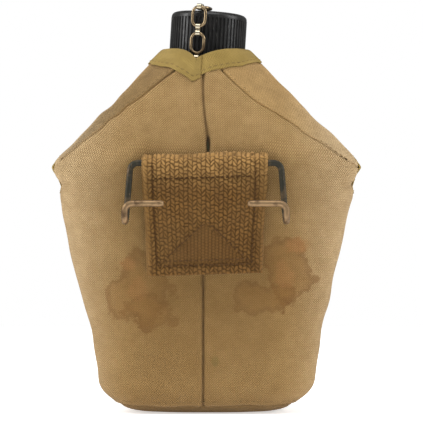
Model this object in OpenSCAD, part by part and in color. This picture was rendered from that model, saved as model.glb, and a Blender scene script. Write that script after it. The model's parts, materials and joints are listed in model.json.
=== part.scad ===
// Metal field canteen in a felt-lined canvas cover with a belt hook.
// Origin: centre of the resting face of the cover, on the ground.
// +Z up, hook side towards -Y, opening flaps towards +Y.

/* [Cover] */
// Half width of the cover at its widest line
cover_half_w = 77; // [70:1:90]
// Half depth of the cover at its widest line
cover_half_d = 36; // [33:1:42]
// Half width of the cover just above the bottom corner
base_half_w = 56.5; // [50:1:65]
// Half depth of the cover just above the bottom corner
base_half_d = 28; // [26:1:33]
// Height of the widest line
shoulder_z = 126; // [115:1:140]
// Height of the point where the shoulder line becomes straight
shoulder_top_z = 136; // [127:1:150]
// Half width of the cover at that point
shoulder_top_half_w = 72; // [66:1:84]
// Height of the collar's top edge
collar_z = 188.5; // [180:0.5:200]
// Half width of the collar at its top edge
collar_half_w = 22.3; // [21.5:0.1:26]
// Half depth of the collar at its top edge
collar_half_d = 25.5; // [24.5:0.1:30]
// How far the kidney shape bends its sides towards the wearer
bend = 15; // [0:1:20]
// Horizontal size of the bottom corner
corner_w = 28; // [20:1:32]
// Depth size of the bottom corner
corner_d = 13; // [8:1:16]
// Height of the bottom corner
corner_h = 20; // [14:1:26]
// Height where the bottom panel is sewn to the side panels
bottom_seam_z = 4; // [2:0.5:8]
// Height of the front pocket's mouth
mouth_z = 121; // [110:1:123]
// Half width between the shoulder seams at the collar
seam_half_w = 13; // [10:0.5:16]
// Depth of the notch in the back of the collar
notch_depth = 6.4; // [0:0.2:8]
// Sideways place of that notch
notch_x = -4; // [-8:0.5:8]

/* [Cloth] */
// Thickness of the canvas
canvas_t = 1.2; // [0.8:0.1:1.6]
// Thickness of the felt lining
felt_t = 3; // [2:0.1:4]
// Room between the felt and the bottle
bottle_ease = 1.2; // [1:0.1:2]
// Room between two layers of cloth
cloth_gap = 0.1; // [0.05:0.05:0.3]
// Room between two layers of cloth that fold along different lines
fold_gap = 0.9; // [0.8:0.05:1.2]
// Thickness of the binding tape
tape_t = 0.65; // [0.4:0.05:1]
// Width of the binding tape
tape_w = 11.5; // [8:0.5:14]
// Room between a flap and what it covers
flap_gap = 0.3; // [0.2:0.1:0.6]

/* [Flaps] */
// Height of a flap tongue's lowest point
tongue_z = 96; // [88:1:106]
// Sideways place of a flap tongue's lowest point
tongue_x = 36; // [28:1:44]
// Height where the two flap edges part at the front
parting_z = 174; // [160:1:176]

/* [Snaps] */
// Radius of a snap's outer cap
snap_r = 8.2; // [7:0.1:10]
// Radius of the stud's post
stud_r = 2.4; // [1.8:0.1:3]
// Radius of the room inside the snap's socket
snap_room_r = 6; // [5.5:0.1:6.5]
// Height of a snap above the ground
snap_z = 108; // [104:1:116]
// Height of the stud above the front canvas
stud_h = 4.7; // [3.8:0.1:5.2]

/* [Bottle] */
// Wall of the bottle
bottle_wall = 1; // [0.6:0.1:1.6]
// Height of the weld line between the bottle's two shells
weld_z = 92; // [60:1:110]
// Outer radius of the neck
neck_r = 15.5; // [14:0.1:16]
// Height where the neck starts
neck_z = 177; // [172:0.5:179]
// Height of the neck's mouth
neck_top_z = 203; // [198:0.5:206]
// How far the neck leans to the side, in degrees
neck_lean = 3.5; // [0:0.5:5]

/* [Cap] */
// Radius of the cap over its ribs
cap_r = 19.85; // [19:0.05:20.5]
// Depth of a rib
rib_depth = 0.6; // [0.3:0.1:0.9]
// Number of ribs
rib_count = 60; // [36:1:72]
// Height of the skirt's lower edge
skirt_z = 181; // [180.5:0.5:184]
// Thickness of the cap's top
cap_top_t = 3; // [2:0.5:4]
// Radius of the cap's top edge
cap_edge_r = 2.6; // [1:0.2:2.8]
// Thickness of the gasket
gasket_t = 1.6; // [1:0.1:2.4]
// Pitch of the screw thread
thread_pitch = 4; // [3:0.5:5]
// Number of thread turns
thread_turns = 2; // [1:0.5:2.5]
// Height of the thread ridge
thread_h = 1.5; // [1:0.1:1.6]
// Radial room between the neck's thread and the cap
thread_gap = 0.35; // [0.2:0.05:0.6]

/* [Chain] */
// Radius of the chain's wire
chain_wire_r = 0.75; // [0.6:0.05:0.9]
// Outer width of a link
link_w = 8.2; // [7:0.1:9]
// Distance between a link's two end wires, middle to middle
link_pitch = 10.3; // [8:0.1:12]
// Distance between the two wires held by a clip
clip_pitch = 3.4; // [3:0.1:4.4]
// Width of a clip's strip
clip_w = 2.3; // [1.6:0.1:3]
// Radius of a clip's eye
clip_eye_r = 1.02; // [0.95:0.01:1.2]
// Thickness of a clip's strip
clip_t = 0.48; // [0.3:0.02:0.7]
// Direction in which the chain hangs, in degrees from the back
chain_turn = 14; // [0:1:30]
// Room between the chain and the cap
chain_gap = 0.15; // [0.05:0.05:0.5]

/* [Belt hook] */
// Radius of the hook's wire
hook_wire_r = 1.6; // [1.4:0.05:2]
// Width of the webbing patch
patch_w = 63; // [50:1:70]
// Sideways place of the patch's middle
patch_x = -0.5; // [-4:0.5:4]
// Height of the patch's lower edge
patch_low_z = 72; // [60:1:80]
// Height of the bar that the patch is folded over
bar_z = 128.5; // [120:0.5:132]
// Thickness of the doubled webbing
patch_t = 3.4; // [2.5:0.1:4.5]
// Height of the fold's top edge above the bar
fold_rise = 5.6; // [3.4:0.1:7]
// Half width between the hook's two legs at their lower ends
hook_half_w = 40.4; // [38:0.2:48]
// Height of the hook's lowest bend
hook_low_z = 99; // [92:0.5:104]
// Height of the hook's tips
tip_z = 108; // [104:0.5:114]
// Half width between the two tips
tip_half_gap = 21; // [16:0.5:26]
// Distance from the legs out to the tips
hook_reach = 13; // [10:0.5:18]
// Bend radius in the wire
hook_bend_r = 4; // [3:0.5:5]
// Room around the bar inside its fold
bar_gap = 0.08; // [0.02:0.01:0.1]

/* [Hidden] */

round_fn = 64;
wire_fn = 24;
canvas_colour = [0.66, 0.53, 0.36];
felt_colour = [0.30, 0.33, 0.22];
tape_colour = [0.60, 0.52, 0.28];
webbing_colour = [0.50, 0.36, 0.17];
steel_colour = [0.62, 0.63, 0.62];
cap_colour = [0.06, 0.06, 0.06];
bronze_colour = [0.45, 0.34, 0.20];
brass_colour = [0.62, 0.52, 0.32];
hook_colour = [0.30, 0.34, 0.32];

// Squareness of the plan outline: 2 is an ellipse, larger is squarer
plan_body = 3;
plan_base = 2.6;
plan_neck = 2;
// Latitude of the side wall's outward normal
side_lat = -9;
shoulder_lat = 46;
skin_t = canvas_t + fold_gap + felt_t + bottle_ease;
felt_out = -canvas_t - fold_gap;
felt_in = felt_out - felt_t;
shoulder_slope = (shoulder_top_half_w - collar_half_w) / (collar_z - shoulder_top_z);
tape_low_z = collar_z - tape_w;
felt_top_z = collar_z - tape_w - 3;

// ---- Surface of the cover: stations of [height, half width, half depth, latitude, bend, plan] ----
function station_bend(a) = bend * max(0, a - collar_half_w) / (cover_half_w - collar_half_w);
function corner_station(t) = let (a = base_half_w - corner_w + corner_w * cos(t)) [
    corner_h + corner_h * sin(t),
    a,
    base_half_d - corner_d + corner_d * cos(t),
    t,
    station_bend(a),
    plan_base
];
function side_station(f) =
    let (low = corner_station(side_lat), a = low[1] + (cover_half_w - low[1]) * f) [
        low[0] + (shoulder_z - low[0]) * f,
        a,
        low[2] + (cover_half_d - low[2]) * f,
        side_lat * (1 - 0.3 * f),
        station_bend(a),
        plan_base + (plan_body - plan_base) * f
    ];
function shoulder_half_w(z) = shoulder_top_half_w - (z - shoulder_top_z) * shoulder_slope;
function shoulder_station(z) =
    let (f = (z - shoulder_top_z) / (collar_z - shoulder_top_z), a = shoulder_half_w(z)) [
        z,
        a,
        cover_half_d - 1 + (collar_half_d - cover_half_d + 1) * pow(f, 1.3),
        shoulder_lat - 16 * f,
        station_bend(a),
        plan_body + (plan_neck - plan_body) * f
    ];
knee_mid_z = (shoulder_z + shoulder_top_z) / 2;
knee_mid_w = (cover_half_w + shoulder_top_half_w) / 2 + 0.9;
low_stations = concat(
    [for (t = [-90, -66, -44, -25]) corner_station(t)],
    [for (f = [0, 0.2, 0.4, 0.6, 0.8]) side_station(f)]
);
cover_stations = concat(
    low_stations,
    [side_station(0.95)],
    [[shoulder_z + 1, cover_half_w, cover_half_d, 16, bend, plan_body]],
    [[knee_mid_z + 1, knee_mid_w - 0.5, cover_half_d - 0.4, 32, station_bend(knee_mid_w), plan_body]],
    [for (z = [shoulder_top_z : (collar_z - shoulder_top_z) / 6 : collar_z + 0.01]) shoulder_station(z)]
);
function columns(stations) = [for (k = [1:5]) [for (s = stations) [s[0], s[k]]]];
cover_columns = columns(cover_stations);

// Station moved outwards by d along its latitude
function moved(s, d) = let (out = d * cos(s[3]))
    [s[0] + d * sin(s[3]), s[1] + out, s[2] + out, s[3], s[4], s[5]];
function station_at(cols, z) = concat([z], [for (c = cols) lookup(z, c)]);
// Point of a station at turn u: 0 is the back, 90 the +X side, 180 the front
function ring_point(s, u) = [
    s[1] * sin(u),
    -s[2] * sign(cos(u)) * pow(max(0, 1 - pow(abs(sin(u)), s[5])), 1 / s[5]) - s[4] * pow(sin(u), 2),
    s[0]
];
function cover_point(u, z, d) = ring_point(moved(station_at(cover_columns, z), d), u);

// ---- Surface of the bottle, inside the cover ----
bottle_low = [for (s = low_stations) moved(s, -skin_t)];
bottle_shoulder_w = shoulder_top_half_w - skin_t;
bottle_knee_z = shoulder_z - 4;
bottle_slope_w = neck_r + 5.5;
bottle_slope_z = neck_z - 5;
function bottle_slope(f) = [
    bottle_knee_z + 9 + (bottle_slope_z - bottle_knee_z - 9) * f,
    bottle_shoulder_w + (bottle_slope_w - bottle_shoulder_w) * f,
    cover_half_d - skin_t - 1 + (neck_r + 2.5 - cover_half_d + skin_t + 1) * pow(f, 1.4),
    42 - 6 * f,
    station_bend(cover_half_w) * (1 - f),
    plan_body + (plan_neck - plan_body) * f
];
bottle_stations = concat(
    bottle_low,
    [[bottle_knee_z - 3, cover_half_w - skin_t - 0.6, cover_half_d - skin_t, 0, bend, plan_body]],
    [[bottle_knee_z + 4, cover_half_w - skin_t - 1.6, cover_half_d - skin_t - 0.4, 20, bend, plan_body]],
    [for (f = [0, 0.25, 0.5, 0.75, 1]) bottle_slope(f)],
    [[neck_z - 2.2, neck_r + 1.4, neck_r + 1, 20, 0, plan_neck]],
    [[neck_z, neck_r, neck_r, 0, 0, plan_neck]]
);
bottle_columns = columns(bottle_stations);
function bottle_point(u, z, d) = ring_point(moved(station_at(bottle_columns, z), d), u);
bottle_heights = [for (s = bottle_stations) s[0]];

// ---- Seams and edges ----
// Half width between the shoulder seams at height z
seam_slope = (cover_half_w - seam_half_w) / (tape_low_z - 1 - shoulder_z);
function seam_w(z) = max(seam_half_w, cover_half_w - 0.5 - (z - shoulder_z) * seam_slope);
function seam_u(z) = z <= shoulder_z ? 90 : asin(min(1, seam_w(z) / station_at(cover_columns, z)[1]));
// Height of the collar's edge at sideways place x on the back
function collar_edge(x) = collar_z - notch_depth * exp(-abs(x - notch_x) / (x < notch_x ? 5 : 8));
function collar_x(u) = collar_half_w * sin(u);
// Height of a flap's lower edge: f is 0 at the shoulder and 1 at the front middle
tongue_f = 1 - asin(tongue_x / cover_half_w) / 90;
function ease_step(t) = t * t * (3 - 2 * t);
function flap_edge(f) = f < tongue_f
    ? shoulder_z - (shoulder_z - tongue_z) * ease_step(f / tongue_f)
    : tongue_z + (parting_z - tongue_z) * pow((f - tongue_f) / (1 - tongue_f), 3);
// How far the flap stands off where it lies over the pocket
flap_lift = tape_t + cloth_gap + fold_gap + flap_gap + canvas_t;
function flap_out(z) = flap_lift * (1 - ease_step(min(1, max(0, (z - mouth_z) / 14))));

// ---- Closed solids between two grids of points, rows upwards and turns counter-clockwise ----
function quad(a, b, c, d) = [[a, b, c], [a, c, d]];
function flat(lists) = [for (l = lists) for (e = l) e];
module between(outer, inner) {
    rows = len(outer);
    cols = len(outer[0]);
    n = rows * cols;
    function p(i, j) = i * cols + j;
    function q(i, j) = n + i * cols + j;
    skin = flat([for (i = [0:rows - 2]) for (j = [0:cols - 2]) concat(
        quad(p(i, j), p(i + 1, j), p(i + 1, j + 1), p(i, j + 1)),
        quad(q(i, j), q(i, j + 1), q(i + 1, j + 1), q(i + 1, j))
    )]);
    ends = flat([for (i = [0:rows - 2]) concat(
        quad(p(i, 0), q(i, 0), q(i + 1, 0), p(i + 1, 0)),
        quad(p(i, cols - 1), p(i + 1, cols - 1), q(i + 1, cols - 1), q(i, cols - 1))
    )]);
    edges = flat([for (j = [0:cols - 2]) concat(
        quad(p(0, j), p(0, j + 1), q(0, j + 1), q(0, j)),
        quad(p(rows - 1, j), q(rows - 1, j), q(rows - 1, j + 1), p(rows - 1, j + 1))
    )]);
    polyhedron(concat(flat(outer), flat(inner)), concat(skin, ends, edges), convexity = 6);
}
// The same all the way round; floored closes the lowest row with a fan to the middle
module round_shell(outer, inner, floored) {
    rows = len(outer);
    cols = len(outer[0]);
    n = rows * cols;
    function p(i, j) = i * cols + j % cols;
    function q(i, j) = n + i * cols + j % cols;
    skin = flat([for (i = [0:rows - 2]) for (j = [0:cols - 1]) concat(
        quad(p(i, j), p(i + 1, j), p(i + 1, j + 1), p(i, j + 1)),
        quad(q(i, j), q(i, j + 1), q(i + 1, j + 1), q(i + 1, j))
    )]);
    top = flat([for (j = [0:cols - 1])
        quad(p(rows - 1, j), q(rows - 1, j), q(rows - 1, j + 1), p(rows - 1, j + 1))]);
    low = floored
        ? flat([for (j = [0:cols - 1])
            [[p(0, j), p(0, j + 1), 2 * n], [q(0, j + 1), q(0, j), 2 * n + 1]]])
        : flat([for (j = [0:cols - 1]) quad(p(0, j), p(0, j + 1), q(0, j + 1), q(0, j))]);
    middles = floored ? [[0, 0, outer[0][0][2]], [0, 0, inner[0][0][2]]] : [];
    polyhedron(concat(flat(outer), flat(inner), middles), concat(skin, top, low), convexity = 6);
}

// ---- Wire and thread sweeps ----
function unit(v) = v / norm(v);
// Polyline with its corners rounded to radius r, in steps of about 15 degrees
function rounded_corner(a, b, c, r) =
    let (
        u = unit(a - b),
        v = unit(c - b),
        half = acos(u * v) / 2,
        middle = b + unit(u + v) * r / sin(half),
        from = b + u * r / tan(half) - middle,
        to = b + v * r / tan(half) - middle,
        turn = acos(unit(from) * unit(to)),
        steps = ceil(turn / 15)
    ) [for (k = [0:steps]) let (f = k / steps)
        middle + (from * sin(turn * (1 - f)) + to * sin(turn * f)) / sin(turn)];
function rounded_path(p, r) = concat(
    [p[0]],
    flat([for (i = [1:len(p) - 2]) rounded_corner(p[i - 1], p[i], p[i + 1], r)]),
    [p[len(p) - 1]]
);
// Rotation-minimising side vectors along a path
function side_vectors(path, i = 0, side = undef) =
    i >= len(path) ? [] :
    let (
        ahead = unit(path[min(i + 1, len(path) - 1)] - path[max(i - 1, 0)]),
        start = is_undef(side) ? cross(ahead, abs(ahead[2]) < 0.9 ? [0, 0, 1] : [0, 1, 0]) : side,
        next = unit(start - (start * ahead) * ahead)
    ) concat([next], side_vectors(path, i + 1, next));
module wire_sweep(path, r, sides) {
    along = side_vectors(path);
    rings = [for (i = [0:len(path) - 1])
        let (
            ahead = unit(path[min(i + 1, len(path) - 1)] - path[max(i - 1, 0)]),
            up = cross(ahead, along[i])
        ) for (k = [0:sides - 1]) let (turn = 360 * k / sides)
            path[i] + r * (along[i] * cos(turn) + up * sin(turn))];
    last = (len(path) - 1) * sides;
    walls = flat([for (i = [0:len(path) - 2]) for (k = [0:sides - 1])
        let (next = (k + 1) % sides)
        quad(i * sides + k, (i + 1) * sides + k, (i + 1) * sides + next, i * sides + next)]);
    caps = [[for (k = [0:sides - 1]) k], [for (k = [sides - 1:-1:0]) last + k]];
    polyhedron(rings, concat(walls, caps), convexity = 8);
}
// Helical ridge from radius r_foot to r_crest, starting at height z
module thread_ridge(r_foot, r_crest, z) {
    steps = ceil(thread_turns * 24);
    foot_half = thread_pitch * 0.23;
    crest_half = thread_pitch * 0.12;
    outwards = r_crest > r_foot;
    corners = [for (i = [0:steps])
        let (turn = 360 * thread_turns * i / steps, rise = z + thread_pitch * turn / 360)
        for (c = [[r_foot, -foot_half], [r_crest, -crest_half], [r_crest, crest_half], [r_foot, foot_half]])
        [c[0] * cos(turn), c[0] * sin(turn), rise + c[1]]];
    walls = flat([for (i = [0:steps - 1]) for (k = [0:3])
        outwards
            ? quad(i * 4 + k, i * 4 + (k + 1) % 4, (i + 1) * 4 + (k + 1) % 4, (i + 1) * 4 + k)
            : quad(i * 4 + k, (i + 1) * 4 + k, (i + 1) * 4 + (k + 1) % 4, i * 4 + (k + 1) % 4)]);
    last = steps * 4;
    caps = outwards
        ? [[3, 2, 1, 0], [last, last + 1, last + 2, last + 3]]
        : [[0, 1, 2, 3], [last + 3, last + 2, last + 1, last]];
    polyhedron(corners, concat(walls, caps), convexity = 8);
}

// ---- Bottle ----
round_cols = 40;
function round_turns() = [for (j = [0:round_cols - 1]) 360 * j / round_cols];
module bottle_shell(heights, floored) {
    round_shell(
        [for (z = heights) [for (u = round_turns()) bottle_point(u, z, 0)]],
        [for (z = heights) [for (u = round_turns()) bottle_point(u, z, -bottle_wall)]],
        floored
    );
}
module bottle_lower_shell() {
    color(steel_colour) bottle_shell(concat([for (z = bottle_heights) if (z < weld_z) z], [weld_z]), true);
}
module bottle_upper_shell() {
    color(steel_colour) bottle_shell(concat([weld_z], [for (z = bottle_heights) if (z > weld_z) z]), false);
}

// Everything on the neck shares its lean
module leaned() {
    translate([0, 0, neck_z]) rotate([0, neck_lean, 0]) translate([0, 0, -neck_z]) children();
}
crest_r = neck_r + thread_h;
neck_thread_z = neck_top_z - 2 - thread_pitch * thread_turns;
module neck_spout() {
    color(steel_colour) difference() {
        leaned() difference() {
            union() {
                translate([0, 0, neck_z - 3])
                    cylinder(r = neck_r, h = neck_top_z - neck_z + 3, $fn = round_fn);
                thread_ridge(neck_r - 0.3, crest_r, neck_thread_z);
            }
            translate([0, 0, neck_z - 4])
                cylinder(r = neck_r - bottle_wall, h = neck_top_z - neck_z + 5, $fn = round_fn);
        }
        translate([0, 0, neck_z - 8 + 0.02]) cube([60, 60, 16], center = true);
    }
}

// ---- Cap, turning about the leaned neck ----
gasket_low_z = neck_top_z + 0.05;
cap_inner_z = gasket_low_z + gasket_t;
cap_top_z = cap_inner_z + cap_top_t;
cap_bore_r = crest_r + thread_gap;
rib_root_r = cap_r - rib_depth;
eye_post_r = 1.5;
eye_fit = 0.06;
wire_z = cap_top_z + clip_eye_r + clip_t + chain_gap;
chain_r = cap_r + clip_eye_r + clip_t + chain_gap;
eye_x = chain_r - clip_pitch - link_pitch;

// Outline of the ribbed skirt: one raised flat per rib
module ribbed_outline() {
    polygon([for (i = [0:rib_count - 1]) for (c = [[0, 0], [0.22, 1], [0.58, 1], [0.8, 0]])
        let (turn = 360 * (i + c[0]) / rib_count, r = rib_root_r + rib_depth * c[1])
        [r * cos(turn), r * sin(turn)]]);
}
module cap() {
    edge_z = cap_top_z - cap_edge_r;
    color(cap_colour) leaned() difference() {
        union() {
            translate([0, 0, skirt_z]) linear_extrude(edge_z - skirt_z - 0.4) ribbed_outline();
            rotate_extrude($fn = round_fn) {
                translate([0, skirt_z]) square([rib_root_r - 0.02, cap_top_z - skirt_z - cap_edge_r]);
                translate([0, edge_z - 0.6]) square([cap_r - cap_edge_r, cap_edge_r + 0.6]);
                translate([cap_r - cap_edge_r, edge_z - 0.6]) square([cap_edge_r - 0.1, 0.61]);
                intersection() {
                    translate([cap_r - cap_edge_r, edge_z]) circle(cap_edge_r - 0.1, $fn = round_fn);
                    translate([cap_r - cap_edge_r, edge_z]) square(cap_edge_r);
                }
            }
        }
        difference() {
            translate([0, 0, skirt_z - 1])
                cylinder(r = cap_bore_r, h = cap_inner_z - skirt_z + 1, $fn = round_fn);
            thread_ridge(cap_bore_r + 0.4, neck_r + thread_gap, neck_thread_z - thread_pitch / 2);
        }
        translate([0, 0, cap_inner_z - 1])
            cylinder(r = eye_post_r + eye_fit, h = cap_top_t + 2, $fn = wire_fn);
    }
}
module ring(r_out, r_in, h) {
    difference() {
        cylinder(r = r_out, h = h, $fn = round_fn);
        translate([0, 0, -1]) cylinder(r = r_in, h = h + 2, $fn = round_fn);
    }
}
washer_r = 4.2;
washer_t = 0.6;
module cap_gasket() {
    color([0.10, 0.09, 0.08]) leaned() translate([0, 0, gasket_low_z])
        ring(cap_bore_r - 0.1, washer_r + 2, gasket_t - 0.02);
}
module cap_eye_washer() {
    color(brass_colour) leaned() translate([0, 0, cap_inner_z - washer_t - 0.02])
        ring(washer_r, eye_post_r + eye_fit, washer_t);
}

// ---- Chain: local +X points from the cap's middle towards the hanging chain ----
module on_chain() {
    leaned() rotate([0, 0, -90 - chain_turn]) children();
}
eye_tab_t = 1.6;
module cap_eye() {
    head_t = 0.7;
    tab_r = clip_eye_r + 0.45;
    color(brass_colour) on_chain() difference() {
        union() {
            translate([0, 0, cap_inner_z - washer_t - 0.06 - head_t])
                cylinder(r = 2.8, h = head_t, $fn = wire_fn);
            translate([0, 0, cap_inner_z - washer_t - 0.1])
                cylinder(r = eye_post_r, h = cap_top_t + washer_t + 0.6, $fn = wire_fn);
            translate([0, 0, cap_top_z + 0.05]) cylinder(r = 2.6, h = 0.5, $fn = wire_fn);
            translate([-1, -eye_tab_t / 2, cap_top_z + 0.3]) cube([eye_x + 1, eye_tab_t, 1.1]);
            translate([eye_x, eye_tab_t / 2, wire_z]) rotate([90, 0, 0])
                cylinder(r = tab_r, h = eye_tab_t, $fn = wire_fn);
        }
        translate([eye_x, 5, wire_z]) rotate([90, 0, 0]) cylinder(r = clip_eye_r, h = 10, $fn = wire_fn);
    }
}
// Oval wire link in the local XY plane, from its first end wire at x = 0 to the second
module wire_link() {
    r = link_w / 2 - chain_wire_r;
    run = link_pitch - 2 * r;
    translate([r, 0, 0]) rotate([0, 0, 90]) rotate_extrude(angle = 180, $fn = round_fn)
        translate([r, 0]) circle(chain_wire_r, $fn = wire_fn);
    translate([link_pitch - r, 0, 0]) rotate([0, 0, -90]) rotate_extrude(angle = 180, $fn = round_fn)
        translate([r, 0]) circle(chain_wire_r, $fn = wire_fn);
    for (side = [-1, 1]) translate([r, side * r, 0])
        rotate([0, 90, 0]) cylinder(r = chain_wire_r, h = run, $fn = wire_fn);
}
// Folded strip with two eyes, from x = 0 to x = clip_pitch
module clip() {
    out_r = clip_eye_r + clip_t;
    rotate([90, 0, 0]) translate([0, 0, -clip_w / 2]) linear_extrude(clip_w) difference() {
        union() {
            circle(out_r, $fn = wire_fn);
            translate([clip_pitch, 0]) circle(out_r, $fn = wire_fn);
            translate([0, -clip_t - 0.15]) square([clip_pitch, 2 * clip_t + 0.3]);
        }
        circle(clip_eye_r, $fn = wire_fn);
        translate([clip_pitch, 0]) circle(clip_eye_r, $fn = wire_fn);
    }
}
module lying(x) {
    on_chain() translate([x, 0, wire_z]) children();
}
module hanging(drop) {
    on_chain() translate([chain_r, 0, wire_z - drop]) rotate([0, 90, 0]) children();
}
module chain_link_1() {
    color(bronze_colour) lying(eye_x) wire_link();
}
module chain_clip_1() {
    color(brass_colour) lying(eye_x + link_pitch) clip();
}
module chain_link_2() {
    color(bronze_colour) hanging(0) wire_link();
}
module chain_clip_2() {
    color(brass_colour) hanging(link_pitch) clip();
}
module chain_link_3() {
    color(bronze_colour) hanging(link_pitch + clip_pitch) wire_link();
}
// Wire loop on the neck that the chain's last clip hangs from
loop_wire_r = 0.5;
loop_half = 1.9;
loop_z = wire_z - 2 * link_pitch - clip_pitch - clip_t - clip_eye_r - chain_wire_r - chain_gap - clip_pitch;
module neck_chain_loop() {
    color(brass_colour) difference() {
        on_chain() translate([0, 0, loop_z]) {
            translate([chain_r - loop_half, 0, 0]) rotate([0, 0, -90])
                rotate_extrude(angle = 180, $fn = round_fn)
                translate([loop_half, 0]) circle(loop_wire_r, $fn = wire_fn);
            for (side = [-1, 1])
                translate([neck_r - 1, side * loop_half, 0]) rotate([0, 90, 0])
                    cylinder(r = loop_wire_r, h = chain_r - loop_half - neck_r + 1, $fn = wire_fn);
        }
        leaned() translate([0, 0, neck_z - 10]) cylinder(r = neck_r + 0.02, h = 40, $fn = round_fn);
    }
}
module chain_clip_3() {
    color(brass_colour) on_chain() translate([chain_r, 0, loop_z + clip_pitch]) rotate([0, 90, 0]) clip();
}

// ---- Cover panels ----
function turns(from, to, n) = [for (j = [0:n]) from + (to - from) * j / n];
function heights_between(low, high) = [for (s = cover_stations) if (s[0] > low && s[0] < high) s[0]];
low_heights = concat([bottom_seam_z], heights_between(bottom_seam_z, mouth_z));
high_heights = heights_between(mouth_z, tape_low_z);
// Height of row k of the collar, from the tape's lower edge to its top edge
function collar_height(f, u) = let (top = collar_edge(collar_x(u))) tape_low_z + (top - tape_low_z) * f;
collar_rows = [0, 0.35, 0.7, 1];

// Fractions across a half: from -1 to 0 on the left, from 0 to 1 on the right
function half_span(side, n) = turns(side < 0 ? -1 : 0, side < 0 ? 0 : 1, n);

// One half of the back, from the middle seam to the side or shoulder seam
back_cols = 10;
module back_half(side) {
    function grid(d) = concat(
        [for (z = concat(low_heights, [mouth_z], high_heights))
            [for (v = half_span(side, back_cols)) cover_point(seam_u(z) * v, z, d)]],
        [for (f = collar_rows) [for (v = half_span(side, back_cols))
            let (u = seam_u(tape_low_z) * v) cover_point(u, collar_height(f, u), d)]]
    );
    between(grid(0), grid(-canvas_t));
}
module back_panel_left() {
    color(canvas_colour) back_half(-1);
}
module back_panel_right() {
    color(canvas_colour) back_half(1);
}

// Strip of flap canvas from the shoulder seam over the shoulder, where the flap folds
strip_cols = 5;
module shoulder_strip(side) {
    heights = concat([shoulder_z + 0.6], [for (z = high_heights) if (z > shoulder_z + 1.5) z]);
    function span(z) = side > 0 ? turns(seam_u(z), 90, strip_cols) : turns(-90, -seam_u(z), strip_cols);
    function grid(d) = concat(
        [for (z = heights) [for (u = span(z)) cover_point(u, z, d)]],
        [for (f = collar_rows) [for (u = span(tape_low_z)) cover_point(u, collar_height(f, u), d)]]
    );
    between(grid(0), grid(-canvas_t));
}
module shoulder_strip_left() {
    color(canvas_colour) shoulder_strip(-1);
}
module shoulder_strip_right() {
    color(canvas_colour) shoulder_strip(1);
}

// One half of the front pocket, with a hole for its snap's post
front_cols = 12;
module front_half(side) {
    heights = concat(low_heights, [mouth_z]);
    function grid(d) = [for (z = heights)
        [for (v = half_span(-side, front_cols)) cover_point(180 + 90 * v, z, d)]];
    difference() {
        between(grid(0), grid(-canvas_t));
        at_snap(side) translate([0, 0, -6]) cylinder(r = stud_r + post_fit, h = 12, $fn = wire_fn);
    }
}
module front_panel_left() {
    color(canvas_colour) front_half(-1);
}
module front_panel_right() {
    color(canvas_colour) front_half(1);
}
module bottom_panel() {
    heights = [0, (0 + cover_stations[1][0]) / 2, cover_stations[1][0], bottom_seam_z];
    color(canvas_colour) round_shell(
        [for (z = heights) [for (u = cover_turns()) cover_point(u, z, 0)]],
        [for (z = heights) [for (u = cover_turns()) cover_point(u, z, -canvas_t)]],
        true
    );
}
// Turns round the cover that match the columns of its halves
function cover_turns() = concat(
    [for (j = [0:back_cols - 1]) 90 * j / back_cols],
    [for (j = [0:2 * front_cols - 1]) 90 + 90 * j / front_cols],
    [for (j = [0:back_cols - 1]) 270 + 90 * j / back_cols]
);

// ---- Felt lining ----
module felt_sheet(heights, from, to, n) {
    between(
        [for (z = heights) [for (u = turns(from, to, n)) cover_point(u, z, felt_out)]],
        [for (z = heights) [for (u = turns(from, to, n)) cover_point(u, z, felt_in)]]
    );
}
module back_felt() {
    heights = concat(low_heights, [mouth_z], high_heights, [felt_top_z]);
    color(felt_colour) felt_sheet(heights, -90, 90, 2 * back_cols);
}
module front_felt() {
    color(felt_colour) difference() {
        felt_sheet(concat(low_heights, [mouth_z - 2]), 90, 270, 2 * front_cols);
        for (side = [-1, 1])
            at_snap(side) translate([0, 0, -10]) cylinder(r = plate_r + 0.6, h = 20, $fn = wire_fn);
    }
}
module bottom_felt() {
    heights = [0, cover_stations[1][0], bottom_seam_z];
    color(felt_colour) round_shell(
        [for (z = heights) [for (u = cover_turns()) cover_point(u, z, felt_out)]],
        [for (z = heights) [for (u = cover_turns()) cover_point(u, z, felt_in)]],
        true
    );
}

// ---- Tapes ----
module neck_binding(side) {
    function grid(d) = [for (f = [0, 0.5, 1]) [for (v = half_span(side, 12))
        let (u = 90 * v) cover_point(u, collar_height(f, u), d)]];
    between(grid(cloth_gap + tape_t), grid(cloth_gap));
}
module neck_binding_left() {
    color(tape_colour) neck_binding(-1);
}
module neck_binding_right() {
    color(tape_colour) neck_binding(1);
}
mouth_tape_w = tape_w * 0.7;
module mouth_binding() {
    function grid(d) = [for (f = [0, 0.5, 1]) [for (u = turns(90, 270, 2 * front_cols))
        cover_point(u, mouth_z - mouth_tape_w * (1 - f), d)]];
    color(tape_colour) between(grid(2 * cloth_gap + tape_t), grid(2 * cloth_gap));
}

// ---- Flaps: f runs from 0 at the shoulder fold to 1 at the front middle ----
flap_cols = 18;
front_split = 0.6;
function flap_u(side, f) = side > 0 ? 90 + (90 - front_split) * f : 270 - (90 - front_split) * f;
function flap_span(side, n) = side > 0 ? turns(0, 1, n) : turns(1, 0, n);
flap_rows = [0, 0.06, 0.14, 0.24, 0.36, 0.5, 0.64, 0.77, 0.88, 1];
module flap_sheet(side, out, thick, top_z) {
    function grid(d) = [for (r = flap_rows) [for (f = flap_span(side, flap_cols))
        let (low = flap_edge(f), z = low + (top_z - low) * r)
        cover_point(flap_u(side, f), z, flap_out(z) + d)]];
    translate([0, flap_gap, 0]) between(grid(out), grid(out - thick));
}
module flap_canvas(side) {
    difference() {
        flap_sheet(side, 0, canvas_t, collar_z);
        at_snap(side) translate([0, 0, -4]) cylinder(r = snap_room_r, h = 16, $fn = round_fn);
    }
}
module flap_left() {
    color(canvas_colour) flap_canvas(-1);
}
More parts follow.
